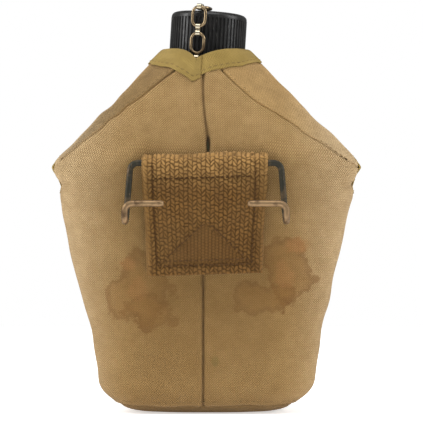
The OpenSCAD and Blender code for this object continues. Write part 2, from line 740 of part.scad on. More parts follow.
module flap_right() {
    color(canvas_colour) flap_canvas(1);
}
module flap_felt(side) {
    low = mouth_z + 3;
    function start(f) = max(low, flap_edge(f) + 2);
    function grid(d) = [for (r = [0, 0.2, 0.4, 0.6, 0.8, 1]) [for (f = flap_span(side, flap_cols))
        let (z = start(f * 0.94) + (felt_top_z - start(f * 0.94)) * r)
        cover_point(flap_u(side, f * 0.94), z, d)]];
    translate([0, flap_gap, 0]) between(grid(felt_out), grid(felt_in));
}
module flap_felt_left() {
    color(felt_colour) flap_felt(-1);
}
module flap_felt_right() {
    color(felt_colour) flap_felt(1);
}
module flap_binding(side) {
    function grid(d) = [for (r = [0, 0.5, 1]) [for (f = flap_span(side, 12))
        cover_point(flap_u(side, f), collar_z - tape_w * (1 - r), d)]];
    translate([0, flap_gap, 0]) between(grid(cloth_gap + tape_t), grid(cloth_gap));
}
module flap_binding_left() {
    color(tape_colour) flap_binding(-1);
}
module flap_binding_right() {
    color(tape_colour) flap_binding(1);
}
// Tape along the flap's lower edge
edge_tape_w = tape_w * 0.65;
module flap_tape(side) {
    function grid(d) = [for (r = [0, 0.5, 1]) [for (f = flap_span(side, 2 * flap_cols)) let (
            low = flap_edge(f),
            wide = edge_tape_w * (1 + 3 * pow(f, 6)),
            z = low + min(wide, tape_low_z - 0.4 - low) * r
        )
        cover_point(flap_u(side, f), z, flap_out(z) + d)]];
    translate([0, flap_gap, 0]) between(grid(fold_gap + cloth_gap + tape_t), grid(fold_gap + cloth_gap));
}
module flap_tape_left() {
    color(tape_colour) flap_tape(-1);
}
module flap_tape_right() {
    color(tape_colour) flap_tape(1);
}

// ---- Snaps: local +Z points out of the cover ----
plate_r = 6;
plate_t = 0.8;
// Depth of the plate's inner face below the outer face of the canvas
plate_depth = canvas_t + 2;
post_seat = plate_t / 2 + 0.05;
post_fit = 0.1;
snap_u = 180 - asin(tongue_x / station_at(cover_columns, snap_z)[1]);
module at_snap(side) {
    here = cover_point(snap_u, snap_z, 0);
    across = cover_point(snap_u - 2, snap_z, 0) - cover_point(snap_u + 2, snap_z, 0);
    yaw = atan2(across[0], -across[1]);
    mirror([side < 0 ? 1 : 0, 0, 0]) translate(here) rotate([0, 0, yaw]) rotate([0, 90, 0]) children();
}
module snap_studs() {
    color(brass_colour) for (side = [-1, 1]) at_snap(side) {
        translate([0, 0, -plate_depth + post_seat])
            cylinder(r = stud_r, h = stud_h + plate_depth - post_seat, $fn = wire_fn);
        translate([0, 0, 0.35]) cylinder(r = stud_r + 1.2, h = 0.5, $fn = wire_fn);
    }
}
module snap_plates() {
    color(brass_colour) for (side = [-1, 1]) at_snap(side)
        translate([0, 0, -plate_depth]) difference() {
            cylinder(r = plate_r, h = plate_t, $fn = wire_fn);
            translate([0, 0, plate_t / 2]) cylinder(r = stud_r + post_fit, h = plate_t, $fn = wire_fn);
        }
}
socket_rise = 1.5;
socket_foot = flap_lift + flap_gap + socket_rise;
module snap_socket(side) {
    room = stud_h + 0.5 - socket_foot;
    at_snap(side) translate([0, 0, socket_foot]) rotate_extrude($fn = round_fn) difference() {
        union() {
            square([snap_r, 1.2]);
            square([snap_r - 1, room + 1.2]);
        }
        translate([0, -1]) square([snap_room_r, max(room, 0.4) + 1]);
    }
}
module snap_socket_left() {
    color(brass_colour) snap_socket(-1);
}
module snap_socket_right() {
    color(brass_colour) snap_socket(1);
}

// ---- Webbing patch and belt hook ----
bar_hole_r = hook_wire_r + bar_gap;
fold_r = bar_hole_r + 1.5;
function back_y(x, z) = let (s = station_at(cover_columns, z)) ring_point(s, asin(x / s[1]))[1];
patch_heights = [for (f = [0, 0.32, 0.64, 1]) patch_low_z + (bar_z - patch_low_z) * f];
// The patch lies against the furthest points of the back that it covers
patch_back_y = min([for (x = [0, 8, 16, 24, 32]) for (z = patch_heights) back_y(x, z)]) - 0.3;
bar_y = patch_back_y - fold_r;
module hook_patch() {
    color(webbing_colour) translate([patch_x, 0, 0]) difference() {
        union() {
            translate([-patch_w / 2, patch_back_y - patch_t, patch_low_z])
                cube([patch_w, patch_t, bar_z - patch_low_z]);
            translate([-patch_w / 2, bar_y, bar_z]) rotate([0, 90, 0])
                cylinder(r = fold_r, h = patch_w, $fn = round_fn);
            translate([-patch_w / 2, patch_back_y - patch_t, bar_z]) cube([patch_w, patch_t, fold_rise]);
        }
        translate([-patch_w, bar_y, bar_z]) rotate([0, 90, 0])
            cylinder(r = bar_hole_r, h = 2 * patch_w, $fn = round_fn);
    }
}
tip_run = 15.5;
module belt_hook() {
    bar_half = patch_w / 2 + hook_bend_r;
    front_y = bar_y - hook_reach;
    color(hook_colour) {
        translate([-bar_half, bar_y, bar_z]) rotate([0, 90, 0])
            cylinder(r = hook_wire_r, h = 2 * bar_half, $fn = wire_fn);
        for (side = [-1, 1]) mirror([side < 0 ? 1 : 0, 0, 0]) {
            wire_sweep(rounded_path([
                [bar_half - 1, bar_y, bar_z],
                [bar_half + hook_bend_r * 0.6, bar_y, bar_z],
                [hook_half_w, bar_y, hook_low_z],
                [hook_half_w, front_y, hook_low_z],
                [hook_half_w, front_y, tip_z],
                [tip_half_gap + tip_run - 1, front_y, tip_z]
            ], hook_bend_r), hook_wire_r, 16);
            translate([tip_half_gap, front_y, tip_z]) rotate([0, 90, 0])
                cylinder(r = hook_wire_r, h = tip_run, $fn = wire_fn);
        }
    }
}

bottle_lower_shell();
bottle_upper_shell();
neck_spout();
neck_chain_loop();
cap();
cap_gasket();
cap_eye_washer();
cap_eye();
chain_link_1();
chain_clip_1();
chain_link_2();
chain_clip_2();
chain_link_3();
chain_clip_3();
back_panel_left();
back_panel_right();
shoulder_strip_left();
shoulder_strip_right();
front_panel_left();
front_panel_right();
bottom_panel();
back_felt();
front_felt();
bottom_felt();
neck_binding_left();
neck_binding_right();
mouth_binding();
flap_left();
flap_right();
flap_felt_left();
flap_felt_right();
flap_binding_left();
flap_binding_right();
flap_tape_left();
flap_tape_right();
snap_studs();
snap_plates();
snap_socket_left();
snap_socket_right();
hook_patch();
belt_hook();
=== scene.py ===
import json
import math

import bmesh
import bpy
import numpy as np
from mathutils import Matrix, Vector


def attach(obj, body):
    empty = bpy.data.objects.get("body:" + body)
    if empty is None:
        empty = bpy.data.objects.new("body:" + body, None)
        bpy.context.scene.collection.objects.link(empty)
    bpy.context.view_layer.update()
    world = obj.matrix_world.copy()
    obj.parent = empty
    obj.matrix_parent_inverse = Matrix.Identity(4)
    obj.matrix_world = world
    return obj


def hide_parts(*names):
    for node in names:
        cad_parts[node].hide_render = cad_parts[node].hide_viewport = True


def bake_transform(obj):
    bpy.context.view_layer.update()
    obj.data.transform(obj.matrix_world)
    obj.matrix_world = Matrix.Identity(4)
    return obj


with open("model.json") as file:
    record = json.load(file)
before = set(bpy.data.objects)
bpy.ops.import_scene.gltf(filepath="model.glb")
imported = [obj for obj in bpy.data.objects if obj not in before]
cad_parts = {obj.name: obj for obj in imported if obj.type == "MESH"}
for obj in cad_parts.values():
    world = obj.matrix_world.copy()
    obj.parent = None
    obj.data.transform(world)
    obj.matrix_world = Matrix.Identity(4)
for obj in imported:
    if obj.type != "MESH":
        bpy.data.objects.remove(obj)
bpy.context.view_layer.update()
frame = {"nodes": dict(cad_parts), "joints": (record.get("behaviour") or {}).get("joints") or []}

MM = 0.001

# ---------------------------------------------------------------- sizes, in millimetres
COVER_W, COVER_D = 77.0, 36.0
BASE_W, BASE_D = 56.5, 28.0
SHOULDER_Z, SHOULDER_TOP_Z, SHOULDER_TOP_W = 126.0, 136.0, 72.0
COLLAR_Z, COLLAR_W, COLLAR_D = 188.5, 22.3, 25.5
BEND = 15.0
CORNER_W, CORNER_D, CORNER_H = 28.0, 13.0, 20.0
BOTTOM_SEAM_Z = 4.0
MOUTH_Z = 121.0
SEAM_W = 13.0
NOTCH_DEPTH, NOTCH_X = 6.4, -4.0
CANVAS_T, FELT_T, TAPE_T, TAPE_W = 1.2, 3.0, 0.65, 11.5
CLOTH_GAP, FOLD_GAP, FLAP_GAP = 0.1, 0.9, 0.3
TONGUE_Z, TONGUE_X, PARTING_Z = 96.0, 36.0, 174.0
SIDE_LAT, SHOULDER_LAT = -9.0, 46.0
TAPE_LOW_Z = COLLAR_Z - TAPE_W
FELT_TOP_Z = TAPE_LOW_Z - 3.0
FELT_OUT = -CANVAS_T - FOLD_GAP
FELT_IN = FELT_OUT - FELT_T
FLAP_LIFT = TAPE_T + CLOTH_GAP + FOLD_GAP + FLAP_GAP + CANVAS_T
SEAM_X = -1.4
STITCH_INSET = 2.1
SNAP_Z = 108.0
FELT_SET_IN = 1.3


# ---------------------------------------------------------------- the cover's surface
def smooth_step(t):
    t = np.clip(t, 0, 1)
    return t * t * (3 - 2 * t)


def sin_deg(a):
    return np.sin(np.radians(a))


def cos_deg(a):
    return np.cos(np.radians(a))


def bend_of(a):
    return BEND * max(0.0, a - COLLAR_W) / (COVER_W - COLLAR_W)


def corner_station(t):
    a = BASE_W - CORNER_W + CORNER_W * cos_deg(t)
    b = BASE_D - CORNER_D + CORNER_D * cos_deg(t)
    return [CORNER_H + CORNER_H * sin_deg(t), a, b, t, bend_of(a), 2.6]


def side_station(f):
    low = corner_station(SIDE_LAT)
    a = low[1] + (COVER_W - low[1]) * f
    return [low[0] + (SHOULDER_Z - low[0]) * f, a, low[2] + (COVER_D - low[2]) * f,
            SIDE_LAT * (1 - 0.3 * f), bend_of(a), 2.6 + 0.4 * f]


def shoulder_station(z):
    f = (z - SHOULDER_TOP_Z) / (COLLAR_Z - SHOULDER_TOP_Z)
    a = SHOULDER_TOP_W + (COLLAR_W - SHOULDER_TOP_W) * f
    return [z, a, COVER_D - 1 + (COLLAR_D - COVER_D + 1) * max(f, 0.0) ** 1.3,
            SHOULDER_LAT - 16 * f, bend_of(a), 3 - max(f, 0.0)]


def cover_stations():
    """Rows of [height, half width, half depth, latitude, bend, plan], smoothed over the knee."""
    rows = [corner_station(t) for t in np.linspace(-90, SIDE_LAT, 24)]
    rows += [side_station(f) for f in np.linspace(0.04, 0.95, 30)]
    rows += [[SHOULDER_Z + 1, COVER_W + 1.1, COVER_D, 16, BEND, 3.0]]
    knee_w = (COVER_W + SHOULDER_TOP_W) / 2 + 1.1
    rows += [[SHOULDER_Z + 6, knee_w, COVER_D - 0.4, 34, bend_of(knee_w), 3.0]]
    rows += [shoulder_station(z) for z in np.linspace(SHOULDER_TOP_Z, COLLAR_Z + 2, 20)]
    coarse = np.array(rows)
    z = np.linspace(0, COLLAR_Z + 2, 800)
    fine = np.column_stack([z] + [np.interp(z, coarse[:, 0], coarse[:, k]) for k in range(1, 6)])
    keep = fine.copy()
    around = smooth_step((z - 92) / 16) * smooth_step((186 - z) / 12)
    for k, wide in ((1, 41), (2, 141), (3, 71), (4, 101), (5, 101)):
        near, far = (np.convolve(np.pad(keep[:, k], n // 2, mode="edge"),
                                 np.hanning(n) / np.hanning(n).sum(), mode="valid") for n in (15, wide))
        fine[:, k] = near * (1 - around) + far * around
    low = z < 12
    fine[low] = keep[low]
    return fine


STATIONS = cover_stations()


def station_at(z):
    return [np.interp(z, STATIONS[:, 0], STATIONS[:, k]) for k in range(1, 6)]


def cover_point(u, z, d=0.0):
    """Points of the cover in mm at turn u (0 back, 90 the +X side, 180 front) and height z, moved out by d."""
    u, z, d = np.broadcast_arrays(np.asarray(u, float), np.asarray(z, float), np.asarray(d, float))
    a, b, lat, sag, plan = station_at(z)
    a = a + d * cos_deg(lat)
    b = b + d * cos_deg(lat)
    s, c = sin_deg(u), cos_deg(u)
    y = -b * np.sign(c) * np.maximum(0, 1 - np.abs(s) ** plan) ** (1 / plan) - sag * s * s
    return np.stack([a * s, y, z + d * sin_deg(lat)], axis=-1)


def seam_x(z):
    """Sideways place of the back's middle seam at height z: it wanders above the patch."""
    return SEAM_X + 2.6 * np.exp(-((z - 139) / 13) ** 2)


def half_width_at(z):
    return station_at(np.asarray(z, float))[0]


def seam_turn(z, side=1):
    """Turn of the shoulder seam at height z, and of the side below it. The right seam runs lower."""
    f = np.clip((z - SHOULDER_Z) / (TAPE_LOW_Z - 1 - SHOULDER_Z), 0, 1)
    w = COVER_W + 1.6 - (COVER_W + 1.6 - SEAM_W) * f
    w = w - (4.4 * f + 20 * f * (1 - f)) if side > 0 else w + 3.2 * f * f
    return np.where(z <= SHOULDER_Z, 90.0, np.degrees(np.arcsin(np.minimum(1, w / half_width_at(z)))))


def collar_edge(x):
    return COLLAR_Z - NOTCH_DEPTH * np.exp(-np.abs(x - NOTCH_X) / np.where(x < NOTCH_X, 5.0, 8.0))


def flap_edge(f):
    """Height of a flap's lower edge: f is 0 at the shoulder fold and 1 at the front middle."""
    f = np.asarray(f, float)
    tongue = 1 - math.degrees(math.asin(TONGUE_X / COVER_W)) / 90
    near = SHOULDER_Z - (SHOULDER_Z - TONGUE_Z) * smooth_step(f / tongue)
    far = TONGUE_Z + (PARTING_Z - TONGUE_Z) * np.clip((f - tongue) / (1 - tongue), 0, 1) ** 3
    return np.where(f < tongue, near, far)


def flap_out(z):
    return FLAP_LIFT * (1 - smooth_step((z - MOUTH_Z) / 14))


# ---------------------------------------------------------------- gentle unevenness of hand-sewn cloth
def waves(points, seed, size, count=14):
    """Smooth seeded noise in about -1..1 over points in mm; size is the length of its bumps."""
    rng = np.random.default_rng(seed)
    total = np.zeros(points.shape[:-1])
    for _ in range(count):
        direction = rng.normal(size=3)
        direction /= np.linalg.norm(direction)
        k = 2 * math.pi / (size * rng.uniform(0.7, 1.6))
        total += np.sin(points @ direction * k + rng.uniform(0, 2 * math.pi))
    return total / math.sqrt(count) * 0.8


def bell(t, width):
    return np.exp(-(t / width) ** 2)


def cloth_relief(points):
    """How far the cover's canvas stands in or out at points in mm, away from its seams."""
    x, y, z = points[..., 0], points[..., 1], points[..., 2]
    back = smooth_step((-y - 4) / 14)
    relief = 0.95 * waves(points, 3, 46) + 0.42 * waves(points, 7, 19)
    # the cloth is drawn in over the bottle's lower corners
    relief -= 1.1 * bell(z - 40, 17) * smooth_step((np.abs(x) - 25) / 25)
    # the shoulder's cloth overhangs the sides and ends in a small tuck
    at_side = smooth_step((np.abs(x) - 62) / 10)
    relief += at_side * (0.8 * bell(z - 123.5, 3.5) - 1.1 * bell(z - 118.0, 2.0) + 0.5 * bell(z - 112, 3.5))
    # soft folds that fan out from the patch's top corners to the shoulders
    for side, strength in ((-1, 1.0), (1, 0.8)):
        for angle, reach in ((38, 1.7), (62, 1.3)):
            dx, dz = x - side * 26, z - 133
            along = dx * side * math.cos(math.radians(angle)) + dz * math.sin(math.radians(angle))
            across = -dx * side * math.sin(math.radians(angle)) + dz * math.cos(math.radians(angle))
            length = smooth_step(along / 8) * smooth_step((46 - along) / 26)
            relief += back * strength * reach * bell(across, 5.0) * length
    # gathers below the collar
    gather = np.sin(np.degrees(np.arctan2(x, -y)) / 9.0 + 0.7)
    relief += 0.45 * gather * smooth_step((z - 150) / 22) * smooth_step((TAPE_LOW_Z + 3 - z) / 8)
    return relief * (1 - 0.8 * smooth_step((z - 168) / 12))


def seam_groove(distance, width, depth, lip):
    """A sewn seam: a groove with slightly raised lips, for a distance in mm from the seam line."""
    return -depth * bell(distance, width) + lip * bell(np.abs(distance) - width * 2.6, width * 1.5)


# ---------------------------------------------------------------- mesh building
def side_name(side):
    return "left" if side < 0 else "right"


def new_object(name, points, faces, smooth=True):
    """A mesh object from points in mm."""
    mesh = bpy.data.meshes.new(name)
    mesh.from_pydata((np.asarray(points, float) * MM).tolist(), [], [list(map(int, f)) for f in faces])
    mesh.validate()
    mesh.update()
    if smooth:
        mesh.polygons.foreach_set("use_smooth", [True] * len(mesh.polygons))
    place = mesh.attributes.new("place", "FLOAT_VECTOR", "POINT")
    spots = np.empty(len(mesh.vertices) * 3, dtype=np.float32)
    mesh.vertices.foreach_get("co", spots)
    place.data.foreach_set("vector", spots)
    obj = bpy.data.objects.new(name, mesh)
    bpy.context.scene.collection.objects.link(obj)
    return obj


def grid_faces(rows, cols, start=0, wrap=False, flip=False):
    wide = cols if wrap else cols - 1
    i, j = np.meshgrid(np.arange(rows - 1), np.arange(wide), indexing="ij")
    a = start + i * cols + j
    b = start + i * cols + (j + 1) % cols
    faces = np.stack([a, b, b + cols, a + cols], axis=-1).reshape(-1, 4)
    return faces[:, ::-1] if flip else faces


def arc_lengths(grid, axis):
    """Running length along rows (axis 1) or columns (axis 0) of a grid of points."""
    steps = np.linalg.norm(np.diff(grid, axis=axis), axis=-1)
    pad = [(0, 0), (0, 0)]
    pad[axis] = (1, 0)
    return np.pad(np.cumsum(steps, axis=axis), pad)


def thick_sheet(name, outer, inner, wrap=False, origin=(0, 0), level=False):
    """A closed solid between two grids of points, with a 'cloth' UV map in metres along the threads."""
    rows, cols = outer.shape[:2]
    n = rows * cols
    faces = [grid_faces(rows, cols, 0, wrap), grid_faces(rows, cols, n, wrap, flip=True)]
    top, low = (rows - 1) * cols, 0
    j = np.arange(cols if wrap else cols - 1)
    k = (j + 1) % cols
    faces.append(np.stack([low + j, n + low + j, n + low + k, low + k], axis=-1))
    faces.append(np.stack([top + j, top + k, n + top + k, n + top + j], axis=-1))
    if not wrap:
        i = np.arange(rows - 1) * cols
        faces.append(np.stack([i, i + cols, n + i + cols, n + i], axis=-1))
        i = i + cols - 1
        faces.append(np.stack([i, n + i, n + i + cols, i + cols], axis=-1))
    points = np.concatenate([outer.reshape(-1, 3), inner.reshape(-1, 3)])
    obj = new_object(name, points, np.concatenate(faces))
    along, up = arc_lengths(outer, 1), arc_lengths(outer, 0)
    along = along - along[:, origin[1]][:, None]
    up = up - up[origin[0], :][None, :]
    if level:
        up = np.repeat(up[:, origin[1]][:, None], cols, axis=1)
    uv = np.stack([along, up], axis=-1).reshape(-1, 2) * MM
    uv = np.concatenate([uv, uv])
    layer = obj.data.uv_layers.new(name="cloth")
    corner = np.empty(len(obj.data.loops), dtype=np.int32)
    obj.data.loops.foreach_get("vertex_index", corner)
    layer.data.foreach_set("uv", uv[corner].astype(np.float32).ravel())
    return obj


def capped_rings(name, points, count, sides):
    """A solid from a stack of rings, closed at both ends."""
    faces = [list(f) for f in grid_faces(count, sides, 0, wrap=True)]
    faces.append(list(range(sides))[::-1])
    faces.append([(count - 1) * sides + k for k in range(sides)])
    return new_object(name, points, faces)


def tube(name, path, radius, sides=14):
    """A round wire with flat ends along a path of points in mm; radius is one per point."""
    count = len(path)
    ahead = np.gradient(path, axis=0)
    ahead /= np.linalg.norm(ahead, axis=1)[:, None]
    side = np.cross(ahead[0], (0, 0, 1) if abs(ahead[0][2]) < 0.9 else (0, 1, 0))
    rings = []
    for i in range(count):
        side = side - ahead[i] * (side @ ahead[i])
        side /= np.linalg.norm(side)
        up = np.cross(ahead[i], side)
        turn = np.linspace(0, 2 * math.pi, sides, endpoint=False)
        rings.append(path[i] + radius[i] * (np.outer(np.cos(turn), side) + np.outer(np.sin(turn), up)))
    return capped_rings(name, np.concatenate(rings), count, sides)


def rounded_path(corners, radius, step=12):
    """A polyline with its corners rounded to a radius, as points in mm."""
    corners = [np.asarray(c, float) for c in corners]
    path = [corners[0]]
    for a, b, c in zip(corners, corners[1:], corners[2:]):
        u, v = (a - b) / np.linalg.norm(a - b), (c - b) / np.linalg.norm(c - b)
        half = math.acos(np.clip(u @ v, -1, 1)) / 2
        middle = b + (u + v) / np.linalg.norm(u + v) * radius / math.sin(half)
        start, end = b + u * radius / math.tan(half) - middle, b + v * radius / math.tan(half) - middle
        turn = math.acos(np.clip(start @ end / radius ** 2, -1, 1))
        steps = max(3, int(math.degrees(turn) / step))
        for k in range(steps + 1):
            w = k / steps
            arc = start * math.sin(turn * (1 - w)) + end * math.sin(turn * w)
            path.append(middle + arc / math.sin(turn))
    path.append(corners[-1])
    return np.array(path)


def join(name, objects):
    """Joins objects into the first one under a new name."""
    with bpy.context.temp_override(active_object=objects[0], selected_editable_objects=objects):
        bpy.ops.object.join()
    objects[0].name = name
    objects[0].data.name = name
    return objects[0]


# A stitch's rings as (place along it, width, rise), as shares of its length and radius
STITCH_RINGS = ((0, 0.35, -0.5), (0.18, 0.95, 0.2), (0.5, 1.05, 0.45), (0.82, 0.95, 0.2), (1, 0.35, -0.5))


def stitch_mesh(name, runs, length=2.3, gap=0.9, radius=0.24, sink=0.05, seed=1):
    """Sewing thread along runs of (points, normals): one small rounded bar per stitch, in a single mesh."""
    rng = np.random.default_rng(seed)
    points, faces = [], []
    for path, normals in runs:
        path, normals = np.asarray(path, float), np.asarray(normals, float)
        run = np.concatenate([[0], np.cumsum(np.linalg.norm(np.diff(path, axis=0), axis=1))])
        count = int(run[-1] // (length + gap))
        for i in range(count):
            start = i * (length + gap) + gap / 2
            ends = []
            for s in (start, start + length):
                ends.append([np.interp(s, run, path[:, k]) for k in range(3)])
            a, b = np.array(ends)
            middle_s = start + length / 2
            n = np.array([np.interp(middle_s, run, normals[:, k]) for k in range(3)])
            n /= np.linalg.norm(n)
            ahead = b - a
            ahead /= max(np.linalg.norm(ahead), 1e-9)
            side = np.cross(ahead, n)
            skew = rng.normal(0, 0.07)
            base = len(points)
            for s, width, rise in STITCH_RINGS:
                centre = a + (b - a) * s + n * (radius * rise - sink) + side * skew * (s - 0.5) * length
                for k in range(6):
                    turn = k * math.pi / 3
                    points.append(centre + radius * width * (side * math.cos(turn) + n * math.sin(turn)))
            for ring in range(4):
                for k in range(6):
                    p, q = base + ring * 6 + k, base + ring * 6 + (k + 1) % 6
                    faces.append([p, q, q + 6, p + 6])
            faces.append([base + k for k in range(5, -1, -1)])
            faces.append([base + 24 + k for k in range(6)])
    return new_object(name, points, faces)


# ---------------------------------------------------------------- the cover's cloth
def cover_sheet(turn, height, extra, out=0.0):
    """Canvas on the cover's surface over grids of turns and heights, with its seam grooves in extra (mm)."""
    relief = cloth_relief(cover_point(turn, height, out)) + extra
    outer = cover_point(turn, height, out + relief)
    inner = cover_point(turn, height, out + relief - CANVAS_T)
    return outer, inner


def seam_distances(turn, height):
    """Lengths in mm from each point of a grid to its first and last column and its first row."""
    flat = cover_point(turn, height, 0)
    along, up = arc_lengths(flat, 1), arc_lengths(flat, 0)
    return along, along[:, -1:] - along, up


def back_half(side):
    rows, cols = 190, 74
    low = np.linspace(BOTTOM_SEAM_Z, TAPE_LOW_Z, rows - 12)
    f = np.linspace(0, 1, cols)
    turns, heights = [], []
    for z in low:
        middle = math.degrees(math.asin(float(seam_x(z)) / half_width_at(z)))
        turns.append(middle + (side * seam_turn(z, side) - middle) * f)
        heights.append(np.full(cols, z))
    last = turns[-1]
    top = collar_edge(COLLAR_W * sin_deg(last))
    for r in np.linspace(0, 1, 13)[1:]:
        turns.append(last)
        heights.append(TAPE_LOW_Z + (top - TAPE_LOW_Z) * r)
    turn, height = np.array(turns), np.array(heights)
    to_middle, to_side, to_bottom = seam_distances(turn, height)
    groove = seam_groove(to_middle, 0.8, 1.25, 0.5)
    # the seam gapes in a pucker just above the patch
    pucker = bell(height - 139, 7.5)
    groove = groove - pucker * 1.6 * bell(to_middle, 1.3) - pucker * 0.9 * bell(to_middle, 9)
    groove = groove + pucker * 0.8 * bell(to_middle - 12, 6)
    groove = groove + seam_groove(to_side, 0.8, 0.8, 0.3) * (height > SHOULDER_Z)
    groove = groove + seam_groove(to_bottom, 0.8, 0.7, 0.25)
    groove = groove + seam_groove(to_side, 0.8, 0.5, 0.2) * (height <= SHOULDER_Z)
    outer, inner = cover_sheet(turn, height, groove)
    if side < 0:
        outer, inner = outer[:, ::-1], inner[:, ::-1]
    name = "back_cloth_" + side_name(side)
    return thick_sheet(name, outer, inner, origin=(0, -1 if side < 0 else 0), level=True)


def front_half(side):
    rows, cols = 130, 84
    f = np.linspace(0, 1, cols)
    turn = np.tile(side * (180 - 90 * f), (rows, 1))
    height = np.tile(np.linspace(BOTTOM_SEAM_Z, MOUTH_Z, rows)[:, None], (1, cols))
    to_middle, to_side, to_bottom = seam_distances(turn, height)
    groove = seam_groove(to_middle, 0.9, 0.9, 0.35) + seam_groove(to_side, 0.8, 0.5, 0.2)
    groove = groove + seam_groove(to_bottom, 0.8, 0.7, 0.25)
    outer, inner = cover_sheet(turn, height, groove)
    if side > 0:
        outer, inner = outer[:, ::-1], inner[:, ::-1]
    name = "front_cloth_" + side_name(side)
    return thick_sheet(name, outer, inner)


def bottom_cloth():
    rows, cols = 26, 200
    turn = np.tile(np.linspace(-180, 180, cols, endpoint=False), (rows, 1))
    sizes = np.linspace(0.02, 1, rows)
    outer_rows, inner_rows = [], []
    split = 19
    for k in range(rows):
        if k < split:
            share = 0.02 + 0.98 * k / (split - 1)
            ring = cover_point(turn[k], 0.0, 0)
            ring_in = cover_point(turn[k], 0.0, -CANVAS_T)
            ring[:, :2] *= share
            ring_in[:, :2] *= share
        else:
            z = BOTTOM_SEAM_Z * (k - split + 1) / (rows - split)
            groove = seam_groove(np.float64(BOTTOM_SEAM_Z - z), 0.8, 0.6, 0.2)
            ring = cover_point(turn[k], z, groove)
            ring_in = cover_point(turn[k], z, groove - CANVAS_T)
        outer_rows.append(ring)
        inner_rows.append(ring_in)
    outer, inner = np.array(outer_rows), np.array(inner_rows)
    outer[..., 2] = np.maximum(outer[..., 2], 0)
    return thick_sheet("bottom_cloth", outer, inner, wrap=True)


def seam_height(u, side):
    """Height at which the shoulder seam is at turn u."""
    z = np.linspace(SHOULDER_Z, TAPE_LOW_Z, 400)
    turns = np.minimum.accumulate(seam_turn(z, side))
    return np.interp(-np.abs(u), -turns, z)


def flap_columns(side):
    """Turns from the back's shoulder seam over the fold to the front middle, and each one's lowest height."""
    first = float(seam_turn(TAPE_LOW_Z, side))
    back = 90 - (90 - first) * np.linspace(1, 0, 46) ** 1.4
    front = 90 + (90 - 0.6) * np.linspace(0, 1, 92)[1:] ** 0.95
    u = np.concatenate([back, front])
    low = np.where(u <= 90, seam_height(u, side), flap_edge((u - 90) / (90 - 0.6)))
    return side * u, low


def flap_cloth(side):
    u, low = flap_columns(side)
    rows = 110
    r = np.linspace(0, 1, rows)[:, None]
    turn = np.tile(u, (rows, 1))
    top = np.where(np.abs(u) < 90, collar_edge(COLLAR_W * sin_deg(u)), COLLAR_Z)
    height = low + (top - low) * r
    along, to_front, up = seam_distances(turn, height)
    on_front = np.abs(turn) > 90
    edge = np.where(on_front, 0, seam_groove(up, 0.8, 0.8, 0.3))
    groove = edge + np.where(on_front, 0.25 * bell(up - 6, 3) - 0.3 * bell(up, 1.0), 0)
    out = flap_out(height) * smooth_step((np.abs(turn) - 88) / 4)
    # the tongue's tip curls a little, and the free cloth bellies between the snap and the fold
    reach = smooth_step((np.abs(turn) - 100) / 20) * smooth_step((178 - np.abs(turn)) / 16)
    belly = on_front * 1.3 * bell(height - 142, 16) * reach
    outer, inner = cover_sheet(turn, height, groove + belly, out)
    if side < 0:
        outer, inner = outer[:, ::-1], inner[:, ::-1]
    name = "flap_cloth_" + side_name(side)
    return thick_sheet(name, outer, inner)


# ---------------------------------------------------------------- tapes, felt and thread
# Cross-sections of folded tape as (height from the cloth's edge, distance out of the cloth), outer face first
COLLAR_TAPE = ([(-11.5, 0.75), (-11.2, 0.86), (-8, 0.88), (-4, 0.88), (-1.2, 0.85), (-0.2, 0.65), (0.35, 0.1),
                (0.45, -0.6), (0.3, -1.3), (-0.3, -1.75), (-1.5, -1.85), (-4, -1.85)],
               [(-11.5, 0.15), (-11.2, 0.15), (-8, 0.15), (-4, 0.15), (-1.2, 0.15), (-0.5, 0.1), (-0.2, -0.1),
                (-0.15, -0.6), (-0.25, -1.0), (-0.7, -1.2), (-1.5, -1.25), (-4, -1.25)])
EDGE_TAPE = ([(7.5, 0.7), (7.2, 0.85), (4, 0.88), (1.2, 0.85), (0.2, 0.6), (-0.4, 0), (-0.45, -0.7),
              (0.1, -1.5), (1.5, -1.82), (5, -1.85)],
             [(7.5, 0.15), (7.2, 0.15), (4, 0.15), (1.2, 0.15), (0.5, 0.1), (0.15, 0), (0.15, -0.7),
              (0.5, -1.15), (1.5, -1.25), (5, -1.25)])


def relief_point(turn, height, out=0.0, base=0.0):
    """A point on the uneven canvas: base is the canvas's own distance out, out is measured from it."""
    return cover_point(turn, height, base + out + cloth_relief(cover_point(turn, height, base)))


def collar_tape(side):
    """Binding over the collar's edge, from the notch in the back round to the front middle."""
    first = math.degrees(math.asin((SEAM_X - 0.2) / COLLAR_W))
    u = np.concatenate([np.linspace(first, side * 90, 60), np.linspace(side * 90, side * 179.4, 61)[1:]])
    edge = np.where(np.abs(u) < 90, collar_edge(COLLAR_W * sin_deg(u)), COLLAR_Z)
    # the lower edge sits a little higher on the right of the middle seam
    reach = (1.0 if side < 0 else 0.86) * (1 - 0.34 * sin_deg(u) ** 2)
    wobble = 0.25 * np.sin(u / 7.0) + 0.15 * np.sin(u / 3.1)
    lift = 0.35 if side < 0 else 0.0

    def face(profile):
        return np.array([relief_point(u, edge + h * reach + (wobble if h < -5 else 0), d + lift * bell(u, 7))
                         for h, d in profile])
    outer, inner = face(COLLAR_TAPE[0]), face(COLLAR_TAPE[1])
    if side < 0:
        outer, inner = outer[:, ::-1], inner[:, ::-1]
    name = "collar_tape_" + side_name(side)
    thread = relief_point(u, edge - 9.4 * reach + wobble, 0.88 + lift * bell(u, 7))
    normal = cover_point(u, edge - 9, 2.0) - cover_point(u, edge - 9, 0.0)
    return thick_sheet(name, outer, inner), (thread, normal)


